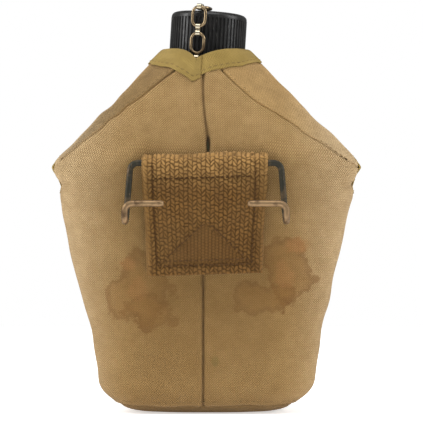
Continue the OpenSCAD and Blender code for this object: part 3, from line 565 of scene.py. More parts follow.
def mouth_tape():
    """Binding over the mouth of the front pocket."""
    u = np.linspace(91, 269, 150)

    def face(profile):
        return np.array([relief_point(u, MOUTH_Z - h, d * 0.85) for h, d in profile])
    tape = thick_sheet("mouth_tape", face(EDGE_TAPE[0])[::-1], face(EDGE_TAPE[1])[::-1])
    thread = relief_point(u, MOUTH_Z - 6, 0.75)
    return tape, (thread, cover_point(u, MOUTH_Z - 6, 2) - cover_point(u, MOUTH_Z - 6, 0))


def flap_edge_tape(side):
    """Binding over the lower edge of a flap, turned square to that edge."""
    u = 90 + 89.0 * np.linspace(0, 1, 130) ** 0.95
    low = flap_edge((u - 90) / 89.4)
    line = cover_point(u, low, FLAP_LIFT)
    run = np.concatenate([[0], np.cumsum(np.linalg.norm(np.diff(line[:, :2], axis=0), axis=1))])
    per_turn = np.gradient(run, u)
    slope = np.gradient(low, run)
    across = np.stack([-slope, np.ones_like(slope)]) / np.sqrt(1 + slope ** 2)

    def spot(h, d):
        turn = np.clip(u + across[0] * h / per_turn, 90, 179.4)
        height = low + across[1] * h
        return relief_point(side * turn, height, d, flap_out(height) * smooth_step((turn - 88) / 4))
    outer = np.array([spot(h, d) for h, d in EDGE_TAPE[0]])[::-1]
    inner = np.array([spot(h, d) for h, d in EDGE_TAPE[1]])[::-1]
    if side < 0:
        outer, inner = outer[:, ::-1], inner[:, ::-1]
    name = "flap_edge_tape_" + side_name(side)
    thread = spot(6.2, 0.86)
    return thick_sheet(name, outer, inner), (thread, spot(6.2, 3.0) - spot(6.2, 0.8))


def felt_piece(name, turn, height):
    spots = cover_point(turn, height)
    fuzz = 0.12 * waves(spots, 23, 5, 20) + 0.1 * waves(spots, 29, 2.2, 20)
    outer = cover_point(turn, height, FELT_OUT - FELT_SET_IN)
    inner = cover_point(turn, height, FELT_IN + fuzz)
    return thick_sheet(name, outer, inner)


def back_felt_lining():
    u, z = np.meshgrid(np.linspace(-90, 90, 110), np.linspace(BOTTOM_SEAM_Z, FELT_TOP_Z, 110))
    return felt_piece("back_felt_lining", u, z)


def front_felt_lining():
    u, z = np.meshgrid(np.linspace(90, 270, 110), np.linspace(BOTTOM_SEAM_Z, MOUTH_Z - 2, 80))
    return felt_piece("front_felt_lining", u, z)


def flap_felt_lining(side):
    u = np.linspace(90.5, 174, 60)
    low = np.maximum(MOUTH_Z + 3, flap_edge((u - 90) / 89.4) + 2)
    r = np.linspace(0, 1, 50)[:, None]
    turn = np.tile(side * u, (50, 1))
    height = low + (FELT_TOP_Z - low) * r
    if side < 0:
        turn, height = turn[:, ::-1], height[:, ::-1]
    return felt_piece("flap_felt_lining_" + side_name(side), turn, height)


def bottom_felt_lining():
    turn = np.tile(np.linspace(-180, 180, 120, endpoint=False), (14, 1))
    outer, inner = [], []
    for k in range(14):
        share, z = min(1.0, 0.02 + 0.98 * k / 9), max(0.0, BOTTOM_SEAM_Z * (k - 9) / 4)
        for rows, d in ((outer, FELT_OUT), (inner, FELT_IN)):
            ring = cover_point(turn[k], z, d)
            ring[:, :2] *= share
            rows.append(ring)
    return thick_sheet("bottom_felt_lining", np.array(outer), np.array(inner), wrap=True)


# ---------------------------------------------------------------- bottle
BOTTLE_GAP = CANVAS_T + FOLD_GAP + FELT_T + 1.2
NECK_R, NECK_Z, WELD_Z = 15.5, 177.0, 92.0
BOTTLE_T = 1.0


def bottle_stations():
    low = STATIONS[STATIONS[:, 0] < 118]
    rows = [[z - BOTTLE_GAP * sin_deg(lat), a - BOTTLE_GAP * cos_deg(lat),
             b - BOTTLE_GAP * cos_deg(lat), bend, plan]
            for z, a, b, lat, bend, plan in low[::12]]
    rows = [row for row in rows if row[0] < 117]
    rows += [[119, COVER_W - BOTTLE_GAP - 0.6, COVER_D - BOTTLE_GAP, BEND, 3],
             [126, COVER_W - BOTTLE_GAP - 1.6, COVER_D - BOTTLE_GAP - 0.4, BEND, 3]]
    shoulder_w, slope_w, slope_z = SHOULDER_TOP_W - BOTTLE_GAP, NECK_R + 5.5, NECK_Z - 5
    for f in np.linspace(0, 1, 12):
        depth = COVER_D - BOTTLE_GAP - 1
        rows.append([131 + (slope_z - 131) * f, shoulder_w + (slope_w - shoulder_w) * f,
                     depth + (NECK_R + 2.5 - depth) * f ** 1.4, BEND * (1 - f), 3 - f])
    rows += [[NECK_Z - 2.2, NECK_R + 1.4, NECK_R + 1, 0, 2], [NECK_Z, NECK_R, NECK_R, 0, 2]]
    return np.array(rows)


def bottle_part(name, low_z, high_z):
    stations = bottle_stations()
    turn = np.linspace(-180, 180, 160, endpoint=False)
    heights = np.linspace(max(low_z, stations[0, 0]), high_z, 90)

    def ring(z, d):
        a, b, sag, plan = (np.interp(z, stations[:, 0], stations[:, k]) for k in range(1, 5))
        a, b = a + d, b + d
        s, c = sin_deg(turn), cos_deg(turn)
        y = -b * np.sign(c) * np.maximum(0, 1 - np.abs(s) ** plan) ** (1 / plan) - sag * s * s
        return np.stack([a * s, y, np.full_like(s, z)], axis=-1)
    bead = [0.35 * bell(z - WELD_Z, 0.8) for z in heights]
    outer = np.array([ring(z, bead[k]) for k, z in enumerate(heights)])
    inner = np.array([ring(z, -BOTTLE_T) for z in heights])
    if low_z < 10:
        shares = np.linspace(0.03, 1, 10)[:-1]
        floor = [outer[0] * [f, f, 1] for f in shares]
        under = [inner[0] * [f, f, 1] + [0, 0, BOTTLE_T] for f in shares]
        outer, inner = np.concatenate([floor, outer]), np.concatenate([under, inner])
    return thick_sheet(name, outer, inner, wrap=True)


# ---------------------------------------------------------------- webbing patch and belt hook
PATCH_W, PATCH_X, PATCH_LOW_Z, BAR_Z, FOLD_R = 63.0, -0.5, 72.0, 128.5, 3.18
PATCH_BACK_Y = -37.888
PATCH_T = 3.4
PATCH_TILT, PATCH_TAPER = 0.028, 0.085
SWELL_LOW_Z = 118.6
BAR_Y = PATCH_BACK_Y - FOLD_R
HOOK_R, HOOK_REACH, HOOK_LOW_Z, TIP_Z, TIP_HALF, HOOK_HALF_W = 1.6, 13.0, 99.0, 108.0, 21.0, 40.4
RIB, FINE_RIB = 2.25, 1.9


def patch_taper(z):
    """The patch narrows downwards: its width at height z as a share of its width at the fold."""
    return 1 - PATCH_TAPER * smooth_step((120 - z) / 48)


def webbing_ridges(x, run):
    """Height in mm of the webbing's slanted cords: columns RIB wide that lean left and right in turn."""
    column = np.floor(x / RIB)
    across = x / RIB - column
    lean = np.where(column % 2 == 0, 0.85, -0.45)
    wobble = 0.16 * np.sin(x * 1.9 + run * 0.7) + 0.13 * np.sin(x * 0.83 - run * 1.37)
    phase = run / RIB + lean * (across - 0.5) * 0.95 + 0.5 * (column % 2) + wobble
    cord = np.abs(np.sin(np.pi * phase)) ** 0.7
    return (cord * np.sin(np.pi * np.clip(across, 0.02, 0.98)) ** 0.45 - 0.5)


def webbing_patch():
    """Doubled webbing: up the front, over the bar and down against the cover, its cords in the mesh."""
    top_y = PATCH_BACK_Y - PATCH_T
    front = [(PATCH_LOW_Z + 0.6 + r, top_y) for r in np.linspace(0, 46, 150)]
    swell = []
    for r in np.linspace(0, 1, 30)[1:]:
        bulge = (BAR_Y - FOLD_R - top_y) * float(smooth_step(r * 1.05))
        swell.append((SWELL_LOW_Z + (BAR_Z - SWELL_LOW_Z) * r, top_y + bulge))
    over = [(BAR_Z + FOLD_R * math.sin(t), BAR_Y - FOLD_R * math.cos(t)) for t in np.linspace(0.05, 1.35, 22)]
    rise = [(BAR_Z + 4.6, BAR_Y + 1.2), (BAR_Z + 5.0, BAR_Y + 2.2), (BAR_Z + 4.4, PATCH_BACK_Y - 0.1)]
    profile = np.array(front + swell + over + rise)
    back = np.array([(BAR_Z + 3.0, PATCH_BACK_Y), (100, PATCH_BACK_Y + 0.1),
                     (PATCH_LOW_Z + 0.5, PATCH_BACK_Y + 0.1),
                     (PATCH_LOW_Z, PATCH_BACK_Y - 1.2), (PATCH_LOW_Z + 0.1, top_y + 0.5)])
    loop = np.concatenate([profile, back])
    run = np.concatenate([[0], np.cumsum(np.linalg.norm(np.diff(loop, axis=0), axis=1))])
    x = np.linspace(-PATCH_W / 2, PATCH_W / 2, 190)
    xx, rr = np.meshgrid(x, run)
    zz, yy = np.tile(loop[:, :1], (1, len(x))), np.tile(loop[:, 1:], (1, len(x)))
    tangent = np.gradient(loop, axis=0)
    tangent /= np.linalg.norm(tangent, axis=1)[:, None]
    out_z, out_y = tangent[:, 1], -tangent[:, 0]
    n = len(profile)
    on_front = (np.arange(len(loop)) < n)[:, None] * 1.0
    # sewn lines press the webbing down: the sides, the low edge and the line below the fold
    press = bell(xx + PATCH_W / 2 - 5.2, 0.8) + bell(xx - PATCH_W / 2 + 5.8, 0.8)
    press = np.clip(press + bell(zz - 77, 0.9) + bell(zz - 121, 1.0), 0, 1)
    edge = smooth_step((PATCH_W / 2 - np.abs(xx)) / 1.6)
    spots = np.stack([xx, yy, zz], axis=-1)
    lump = 0.35 * waves(spots, 41, 26) + 0.12 * waves(spots, 43, 9)
    # the cords lie flatter in the triangle that is sewn through twice
    sewn = smooth_step((99 - np.abs(xx) * 0.87 - zz) / 2.0) * smooth_step((zz - 77.5) / 1.0)
    ribs = 0.45 * np.abs(np.sin(np.pi * xx / FINE_RIB)) ** 0.6 - 0.5
    ribs = ribs + 0.3 * np.abs(np.sin(np.pi * (rr / 1.5 + np.floor(xx / FINE_RIB) * 0.5)))
    ridges = webbing_ridges(xx + 40, rr) * (1 - sewn) + ribs * sewn
    height = on_front * (0.95 * ridges * (0.55 + 0.45 * edge) - 0.55 * press + lump
                         - 0.9 * (1 - edge) + 0.35 * bell(PATCH_W / 2 - np.abs(xx) - 1.6, 1.0))
    # a frayed lump on the left edge
    height = height + on_front * 0.9 * bell(zz - 103, 3.2) * bell(xx + PATCH_W / 2 - 1.0, 1.8)
    height = np.minimum(height, 1.1)
    sway = 0.35 * np.sin(zz / 9.0) * (np.abs(xx) / (PATCH_W / 2)) ** 8
    taper = patch_taper(zz)
    points = np.stack([xx * taper + sway * np.sign(xx) + PATCH_X, yy + height * out_y[:, None],
                       zz + height * out_z[:, None] + PATCH_TILT * xx], axis=-1)
    rows, cols = points.shape[:2]
    faces = [grid_faces(rows, cols)]
    j = np.arange(cols - 1)
    last = (rows - 1) * cols
    faces.append(np.stack([last + j, last + j + 1, j + 1, j], axis=-1))
    faces = [list(f) for f in np.concatenate(faces)]
    faces.append([i * cols for i in range(rows)])
    faces.append([i * cols + cols - 1 for i in range(rows)][::-1])
    patch = new_object("webbing_patch", points.reshape(-1, 3), faces)
    depth = patch.data.attributes.new("cord_height", "FLOAT", "POINT")
    depth.data.foreach_set("value", (ridges + 0.5).reshape(-1).astype(np.float32))
    layer = patch.data.uv_layers.new(name="cloth")
    uv = np.stack([xx, rr], axis=-1).reshape(-1, 2) * MM
    corner = np.empty(len(patch.data.loops), dtype=np.int32)
    patch.data.loops.foreach_get("vertex_index", corner)
    layer.data.foreach_set("uv", uv[corner].astype(np.float32).ravel())
    bm = bmesh.new()
    bm.from_mesh(patch.data)
    bmesh.ops.recalc_face_normals(bm, faces=bm.faces)
    bm.to_mesh(patch.data)
    bm.free()
    return patch


def patch_thread():
    """Rows of thread on the patch: its border, the line below the fold, and a crossed triangle."""
    y = PATCH_BACK_Y - PATCH_T - 0.15
    lines = [[(-26.6, 77), (-26.6, 131)], [(25.2, 77), (25.2, 131)], [(-26.6, 77), (25.2, 77)],
             [(-26.6, 121), (25.2, 121)], [(-26.6, 79.5), (25.2, 79.5)],
             [(-24, 79), (0.5, 99)], [(0.5, 99), (23, 79)]]
    runs = []
    for a, b in lines:
        f = np.linspace(0, 1, 40)[:, None]
        line = np.array(a) + (np.array(b) - np.array(a)) * f
        swell = smooth_step((line[:, 1] - SWELL_LOW_Z) / 9.9) * (BAR_Y - FOLD_R - (PATCH_BACK_Y - PATCH_T))
        points = np.stack([line[:, 0] * patch_taper(line[:, 1]), y + swell,
                           line[:, 1] + PATCH_TILT * line[:, 0]], axis=-1)
        runs.append((points, np.tile([0.0, -1.0, 0.0], (40, 1))))
    return stitch_mesh("patch_thread", runs, length=1.9, gap=0.7, radius=0.3, sink=0.02, seed=9)


def hook_wire():
    half = PATCH_W / 2 + 4.0
    front = BAR_Y - HOOK_REACH
    side = [(half + 2.4, BAR_Y, BAR_Z), (HOOK_HALF_W, BAR_Y, HOOK_LOW_Z),
            (HOOK_HALF_W, front, HOOK_LOW_Z), (HOOK_HALF_W, front, TIP_Z), (TIP_HALF, front, TIP_Z)]
    path = [(-x, y, z) for x, y, z in side[::-1]] + side
    path = rounded_path(path, 4.0, step=9)
    fine = []
    for a, b in zip(path, path[1:]):
        steps = max(1, int(np.linalg.norm(b - a) / 1.5))
        fine += [a + (b - a) * k / steps for k in range(steps)]
    fine = np.array(fine + [path[-1]])
    radius = np.full(len(fine), HOOK_R)
    run = np.concatenate([[0], np.cumsum(np.linalg.norm(np.diff(fine, axis=0), axis=1))])
    ends = np.minimum(run, run[-1] - run)
    radius *= 0.72 + 0.28 * np.sqrt(np.clip(ends / 0.9, 0, 1))
    return tube("belt_hook_wire", fine, radius, sides=20)


# ---------------------------------------------------------------- snaps
def lathe(name, profile, sides=48):
    """A turned piece about Z from (radius, height) points in mm."""
    turn = np.linspace(0, 2 * math.pi, sides, endpoint=False)
    points = np.array([[(r * math.cos(t), r * math.sin(t), z) for t in turn] for r, z in profile])
    return capped_rings(name, points.reshape(-1, 3), len(profile), sides)


def seat_snap(obj, side, out):
    """Places a turned piece on a snap's place, its axis out of the cover, out mm off the canvas."""
    u = 180 - math.degrees(math.asin(TONGUE_X / float(half_width_at(SNAP_Z))))
    here = cover_point(u, SNAP_Z, 0)
    across = cover_point(u - 2, SNAP_Z, 0) - cover_point(u + 2, SNAP_Z, 0)
    normal = Vector((-across[1], across[0], 0)).normalized()
    if normal.y < 0:
        normal = -normal
    place = Matrix.Translation(Vector(here) * MM) @ normal.to_track_quat("Z", "Y").to_matrix().to_4x4()
    if side < 0:
        place = Matrix.Scale(-1, 4, (1, 0, 0)) @ place @ Matrix.Scale(-1, 4, (1, 0, 0))
    obj.data.transform(place @ Matrix.Translation((0, 0, out * MM)))
    return obj


SOCKET_FOOT = FLAP_LIFT + FLAP_GAP + 1.5


def snap_cap(side):
    """The snap's outer half: a domed cap with a rolled rim and a stepped middle."""
    top = 1.45
    profile = [(6.0, -0.2), (6.4, -0.45), (7.6, -0.45), (8.1, -0.2), (8.25, 0.15), (8.1, 0.5), (7.6, 0.75),
               (7.0, 0.8), (6.7, 0.95), (6.2, top - 0.05), (5.4, top + 0.1), (4.2, top + 0.02),
               (3.9, top - 0.25),
               (3.2, top - 0.4), (1.6, top - 0.2), (0.05, top - 0.12)]
    cap = lathe("snap_cap_" + side_name(side), profile)
    return seat_snap(cap, side, SOCKET_FOOT)


def snap_post(side):
    """The snap's inner half: a post with a bulb and a turned flange on the pocket."""
    profile = [(3.0, 0.3), (4.4, 0.3), (4.9, 0.5), (4.7, 0.85), (3.6, 1.0), (2.6, 1.2), (2.1, 1.9),
               (2.05, 3.0),
               (2.3, 3.6), (2.4, 4.0), (2.2, 4.4), (1.6, 4.68), (0.05, 4.7)]
    return seat_snap(lathe("snap_post_" + side_name(side), profile, 36), side, 0)


# ---------------------------------------------------------------- material nodes
def link(tree, source, target):
    tree.links.new(source, target)


def add(tree, kind, **values):
    node = tree.nodes.new("ShaderNode" + kind)
    for key, value in values.items():
        setattr(node, key, value)
    return node


def calc(tree, operation, a, b=None, c=None):
    node = add(tree, "Math", operation=operation)
    for k, value in enumerate((a, b, c)):
        if value is None:
            continue
        if isinstance(value, (int, float)):
            node.inputs[k].default_value = value
        else:
            link(tree, value, node.inputs[k])
    return node.outputs[0]


def noise(tree, vector, scale, detail=4.0, rough=0.55):
    node = add(tree, "TexNoise")
    node.inputs["Scale"].default_value = scale
    node.inputs["Detail"].default_value = detail
    node.inputs["Roughness"].default_value = rough
    link(tree, vector, node.inputs["Vector"])
    return node.outputs["Fac"]


def span(tree, value, low, high, to_low=0.0, to_high=1.0):
    """Maps low..high to to_low..to_high, smoothly and clamped."""
    node = add(tree, "MapRange", interpolation_type="SMOOTHSTEP")
    link(tree, value, node.inputs["Value"])
    for name, number in (("From Min", low), ("From Max", high), ("To Min", to_low), ("To Max", to_high)):
        node.inputs[name].default_value = number
    return node.outputs["Result"]


def blend_colour(tree, mask, a, b):
    node = add(tree, "Mix", data_type="RGBA")
    link(tree, mask, node.inputs[0])
    for socket, value in ((node.inputs[6], a), (node.inputs[7], b)):
        if isinstance(value, tuple):
            socket.default_value = (*value, 1)
        else:
            link(tree, value, socket)
    return node.outputs[2]


def tint(tree, colour, mask, strength, towards):
    """Takes a colour part of the way to another, where the mask is and by the strength."""
    return blend_colour(tree, calc(tree, "MULTIPLY", mask, strength), colour, towards)


def new_group(name, inputs, outputs):
    group = bpy.data.node_groups.new(name, "ShaderNodeTree")
    for label, kind, value in inputs:
        socket = group.interface.new_socket(label, in_out="INPUT", socket_type="NodeSocket" + kind)
        if value is not None:
            socket.default_value = value
    for label, kind in outputs:
        group.interface.new_socket(label, in_out="OUTPUT", socket_type="NodeSocket" + kind)
    return group, group.nodes.new("NodeGroupInput"), group.nodes.new("NodeGroupOutput")


def use_group(tree, group, vector, **values):
    node = add(tree, "Group")
    node.node_tree = group
    link(tree, vector, node.inputs["Vector"])
    for label, value in values.items():
        node.inputs[label.replace("_", " ")].default_value = value
    return node


def canvas_weave_group():
    """Plain weave over a UV in metres: its height, and a mask of the hollows between the threads."""
    group, inside, out = new_group("canvas weave",
                                   [("Vector", "Vector", None), ("Threads per metre", "Float", 1150.0)],
                                   [("Height", "Float"), ("Hollow", "Float")])
    turned = add(group, "VectorRotate", rotation_type="Z_AXIS")
    turned.inputs["Angle"].default_value = math.radians(48)
    link(group, inside.outputs["Vector"], turned.inputs["Vector"])
    scaled = add(group, "VectorMath", operation="SCALE")
    link(group, turned.outputs[0], scaled.inputs[0])
    link(group, inside.outputs["Threads per metre"], scaled.inputs["Scale"])
    part = add(group, "SeparateXYZ")
    link(group, scaled.outputs[0], part.inputs[0])
    checker = add(group, "TexChecker")
    checker.inputs["Scale"].default_value = 1.0
    link(group, scaled.outputs[0], checker.inputs["Vector"])
    u = calc(group, "ABSOLUTE", calc(group, "SINE", calc(group, "MULTIPLY", part.outputs[0], math.pi)))
    v = calc(group, "ABSOLUTE", calc(group, "SINE", calc(group, "MULTIPLY", part.outputs[1], math.pi)))
    warp = calc(group, "MULTIPLY", u, calc(group, "MULTIPLY_ADD", v, 0.45, 0.55))
    weft = calc(group, "MULTIPLY", v, calc(group, "MULTIPLY_ADD", u, 0.3, 0.3))
    pick = checker.outputs["Fac"]
    height = calc(group, "ADD", calc(group, "MULTIPLY", warp, pick),
                  calc(group, "MULTIPLY", weft, calc(group, "SUBTRACT", 1.0, pick)))
    slub = noise(group, inside.outputs["Vector"], 260, 3)
    height = calc(group, "MULTIPLY", height, calc(group, "MULTIPLY_ADD", slub, 0.8, 0.6))
    link(group, height, out.inputs["Height"])
    link(group, span(group, height, 0.1, 0.6, 1.0, 0.0), out.inputs["Hollow"])
    return group


def tone_group():
    """Cloudy fading and finer mottling over places on the object."""
    group, inside, out = new_group("fading", [("Vector", "Vector", None)],
                                   [("Cloud", "Float"), ("Mottle", "Float"), ("Speck", "Float")])
    place = inside.outputs["Vector"]
    link(group, span(group, noise(group, place, 22, 5, 0.6), 0.32, 0.68), out.inputs["Cloud"])
    link(group, span(group, noise(group, place, 130, 6, 0.65), 0.3, 0.7), out.inputs["Mottle"])
    link(group, span(group, noise(group, place, 900, 3, 0.6), 0.62, 0.75), out.inputs["Speck"])
    return group


def stain_group():
    """A dried spill: a soft filled patch and its darker rim."""
    group, inside, out = new_group("dried spill", [("Vector", "Vector", None), ("Centre", "Vector", (0, 0, 0)),
                                                   ("Size", "Vector", (1, 1, 1)), ("Ragged", "Float", 0.4)],
                                   [("Fill", "Float"), ("Rim", "Float")])
    place = inside.outputs["Vector"]
    shift = add(group, "VectorMath", operation="SUBTRACT")
    link(group, place, shift.inputs[0])
    link(group, inside.outputs["Centre"], shift.inputs[1])
    scaled = add(group, "VectorMath", operation="DIVIDE")
    link(group, shift.outputs[0], scaled.inputs[0])
    link(group, inside.outputs["Size"], scaled.inputs[1])
    length = add(group, "VectorMath", operation="LENGTH")
    link(group, scaled.outputs[0], length.inputs[0])
    wander = calc(group, "SUBTRACT", noise(group, place, 70, 6, 0.68), 0.5)
    wander = calc(group, "MULTIPLY", wander, calc(group, "MULTIPLY", inside.outputs["Ragged"], 4.6))
    distance = calc(group, "ADD", length.outputs["Value"], wander)
    link(group, span(group, distance, 0.6, 1.15, 1.0, 0.0), out.inputs["Fill"])
    rim = calc(group, "MULTIPLY", span(group, distance, 0.66, 1.0),
               span(group, distance, 1.0, 1.12, 1.0, 0.0))
    link(group, rim, out.inputs["Rim"])
    return group


def wear_group():
    """Scratches and rubbed patches on metal and plastic."""
    group, inside, out = new_group("rubbed wear", [("Vector", "Vector", None)],
                                   [("Rub", "Float"), ("Scratch", "Float"), ("Grain", "Float")])
    place = inside.outputs["Vector"]
    link(group, span(group, noise(group, place, 160, 6, 0.65), 0.45, 0.68), out.inputs["Rub"])
    stretch = add(group, "Mapping")
    stretch.inputs["Scale"].default_value = (900, 140, 220)
    link(group, place, stretch.inputs["Vector"])
    link(group, span(group, noise(group, stretch.outputs[0], 1.0, 3, 0.6), 0.6, 0.72), out.inputs["Scratch"])
    link(group, noise(group, place, 1500, 4, 0.6), out.inputs["Grain"])
    return group


WEAVE, FADING, SPILL, WEAR = canvas_weave_group(), tone_group(), stain_group(), wear_group()


def new_material(name, roughness=0.9, metallic=0.0, **settings):
    """A material, its node tree and its shader, with the shader's own constants set."""
    material = bpy.data.materials.new(name)
    material.use_nodes = True
    tree = material.node_tree
    shader = tree.nodes["Principled BSDF"]
    shader.inputs["Roughness"].default_value = roughness
    shader.inputs["Metallic"].default_value = metallic
    for label, value in settings.items():
        shader.inputs[label.replace("_", " ")].default_value = value
    return material, tree, shader


def place_of(tree):
    attribute = add(tree, "Attribute", attribute_name="place")
    return attribute.outputs["Vector"]


def object_place(tree):
    return add(tree, "TexCoord").outputs["Object"]


def cloth_uv(tree):
    return add(tree, "UVMap", uv_map="cloth").outputs["UV"]


def bumped(tree, shader, layers):
    """Feeds the shader's normal from layers of (height, distance in metres, strength)."""
    last = None
    for height, distance, strength in layers:
        bump = add(tree, "Bump")
        bump.inputs["Distance"].default_value = distance
        bump.inputs["Strength"].default_value = strength
        link(tree, height, bump.inputs["Height"])
        if last is not None:
            link(tree, last, bump.inputs["Normal"])
        last = bump.outputs["Normal"]
    link(tree, last, shader.inputs["Normal"])


# ---------------------------------------------------------------- finishes
def cover_canvas(name, light=0.0, spills=True):
    """Faded, stained cotton duck; light lifts it into a paler copy for the cleaner flap cloth, partly paler
    cloth and partly painted light on the flaps that face the side lamps.
    """
    material, tree, shader = new_material(name, 0.93, Specular_IOR_Level=0.15, Sheen_Weight=0.05,
                                          Sheen_Roughness=0.6)
    place = place_of(tree)
    weave = use_group(tree, WEAVE, cloth_uv(tree))
    tone = use_group(tree, FADING, place)
    spot = add(tree, "SeparateXYZ")
    link(tree, place, spot.inputs[0])
    k = 1 + 0.55 * light
    colour = blend_colour(tree, tone.outputs["Cloud"], (0.325 * k, 0.196 * k, 0.066 * k),
                          (0.425 * k, 0.27 * k, 0.104 * k))
    # painted light: the top of the cover and its outer sides are lightened, as if lit from above and from both
    # sides, against its darker lower middle
    up = span(tree, spot.outputs[2], 0.06, 0.17)
    colour = tint(tree, colour, up, 0.3, (0.52, 0.35, 0.165))
    aside = span(tree, calc(tree, "ABSOLUTE", spot.outputs[0]), 0.036, 0.072)
    colour = tint(tree, colour, aside, 0.5 + 0.25 * light, (0.7, 0.53, 0.315))
    colour = tint(tree, colour, tone.outputs["Mottle"], 0.3, (0.24, 0.145, 0.055))
    if spills:
        for centre, size, ragged, fill, rim in (
                ((-0.0325, -0.030, 0.0640), (0.0150, 0.030, 0.0190), 0.50, 0.34, 0.48),
                ((-0.0270, -0.030, 0.0520), (0.0120, 0.030, 0.0085), 0.60, 0.34, 0.42),
                ((0.0420, -0.030, 0.0745), (0.0125, 0.030, 0.0160), 0.50, 0.42, 0.50),
                ((0.0270, -0.030, 0.0605), (0.0150, 0.030, 0.0075), 0.50, 0.38, 0.45)):
            spill = use_group(tree, SPILL, place, Centre=centre, Size=size, Ragged=ragged)
            colour = tint(tree, colour, spill.outputs["Fill"], fill, (0.26, 0.115, 0.022))
            colour = tint(tree, colour, spill.outputs["Rim"], rim, (0.15, 0.055, 0.01))
        for centre, size, strength in (((-0.0395, -0.03, 0.0770), (0.0050, 0.03, 0.0042), 0.42),
                                       ((-0.0345, -0.03, 0.0655), (0.0052, 0.03, 0.0060), 0.36),
                                       ((0.0468, -0.03, 0.0865), (0.0070, 0.03, 0.0052), 0.50),
                                       ((0.0395, -0.03, 0.0720), (0.0050, 0.03, 0.0065), 0.35)):
            blush = use_group(tree, SPILL, place, Centre=centre, Size=size, Ragged=0.6)
            colour = tint(tree, colour, blush.outputs["Fill"], strength, (0.46, 0.215, 0.075))
        mould = use_group(tree, SPILL, place, Centre=(0.0048, -0.03, 0.0268), Size=(0.0022, 0.03, 0.0032),
                          Ragged=0.5)
        colour = tint(tree, colour, mould.outputs["Fill"], 0.4, (0.14, 0.15, 0.04))
        # painted shadow: a dark slit where the back's middle seam gapes above the patch
        slit_shadow = use_group(tree, SPILL, place, Centre=(0.0013, -0.038, 0.1385), Size=(0.0012, 0.03, 0.0050),
                         Ragged=0.1)
        colour = tint(tree, colour, slit_shadow.outputs["Fill"], 0.9, (0.025, 0.014, 0.006))
    # painted shade: the cloth round the patch and below it is darkened
    patch_shade = calc(tree, "MULTIPLY", span(tree, calc(tree, "ABSOLUTE", spot.outputs[0]), 0.026, 0.052, 1.0, 0.0),
                 span(tree, spot.outputs[2], 0.112, 0.14, 1.0, 0.0))
    if spills:
        colour = tint(tree, colour, patch_shade, 0.36, (0.17, 0.092, 0.026))
    # darker towards the ground, and painted shade in the hollows of the weave
    low = span(tree, spot.outputs[2], 0.0, 0.016, 1.0, 0.0)
    colour = tint(tree, colour, low, 0.45, (0.19, 0.11, 0.04))
    colour = tint(tree, colour, weave.outputs["Hollow"], 0.78, (0.12, 0.062, 0.016))
    colour = tint(tree, colour, tone.outputs["Speck"], 0.25, (0.16, 0.10, 0.05))
    link(tree, colour, shader.inputs["Base Color"])
    link(tree, span(tree, tone.outputs["Mottle"], 0, 1, 0.86, 0.97), shader.inputs["Roughness"])
    bumped(tree, shader, [(weave.outputs["Height"], 0.00045, 0.9), (tone.outputs["Mottle"], 0.0005, 0.25)])
    return material


def binding_tape():
    """Olive-khaki herringbone tape."""
    material, tree, shader = new_material("binding tape", 0.9, Specular_IOR_Level=0.15, Sheen_Weight=0.05)
    place = place_of(tree)
    tone = use_group(tree, FADING, place)
    uv = add(tree, "SeparateXYZ")
    link(tree, cloth_uv(tree), uv.inputs[0])
    column = calc(tree, "MULTIPLY", uv.outputs[1], 1 / 0.0028)
    saw = calc(tree, "PINGPONG", column, 1.0)
    slant = calc(tree, "ADD", calc(tree, "MULTIPLY", uv.outputs[0], 1 / 0.00085),
                 calc(tree, "MULTIPLY", saw, 1.6))
    twill = calc(tree, "ABSOLUTE", calc(tree, "SINE", calc(tree, "MULTIPLY", slant, math.pi)))
    colour = blend_colour(tree, tone.outputs["Cloud"], (0.235, 0.16, 0.038), (0.39, 0.275, 0.085))
    # painted shade in the grooves of the twill
    colour = blend_colour(tree, span(tree, twill, 0.0, 0.7, 0.75, 0.0), colour, (0.10, 0.066, 0.016))
    colour = tint(tree, colour, tone.outputs["Mottle"], 0.25, (0.2, 0.13, 0.04))
    link(tree, colour, shader.inputs["Base Color"])
    bumped(tree, shader, [(twill, 0.0002, 0.8), (tone.outputs["Mottle"], 0.0003, 0.3)])
    return material


def wool_felt():
    material, tree, shader = new_material("wool felt", 1.0, Specular_IOR_Level=0.1, Sheen_Weight=0.1,
                                          Sheen_Roughness=0.7)
    place = place_of(tree)
    tone = use_group(tree, FADING, place)
    fibre = noise(tree, place, 2600, 6, 0.75)
    colour = blend_colour(tree, span(tree, fibre, 0.35, 0.65), (0.03, 0.042, 0.016), (0.085, 0.1, 0.045))
    colour = tint(tree, colour, tone.outputs["Cloud"], 0.4, (0.12, 0.11, 0.05))
    link(tree, colour, shader.inputs["Base Color"])
    bumped(tree, shader, [(fibre, 0.0006, 0.7)])
    return material


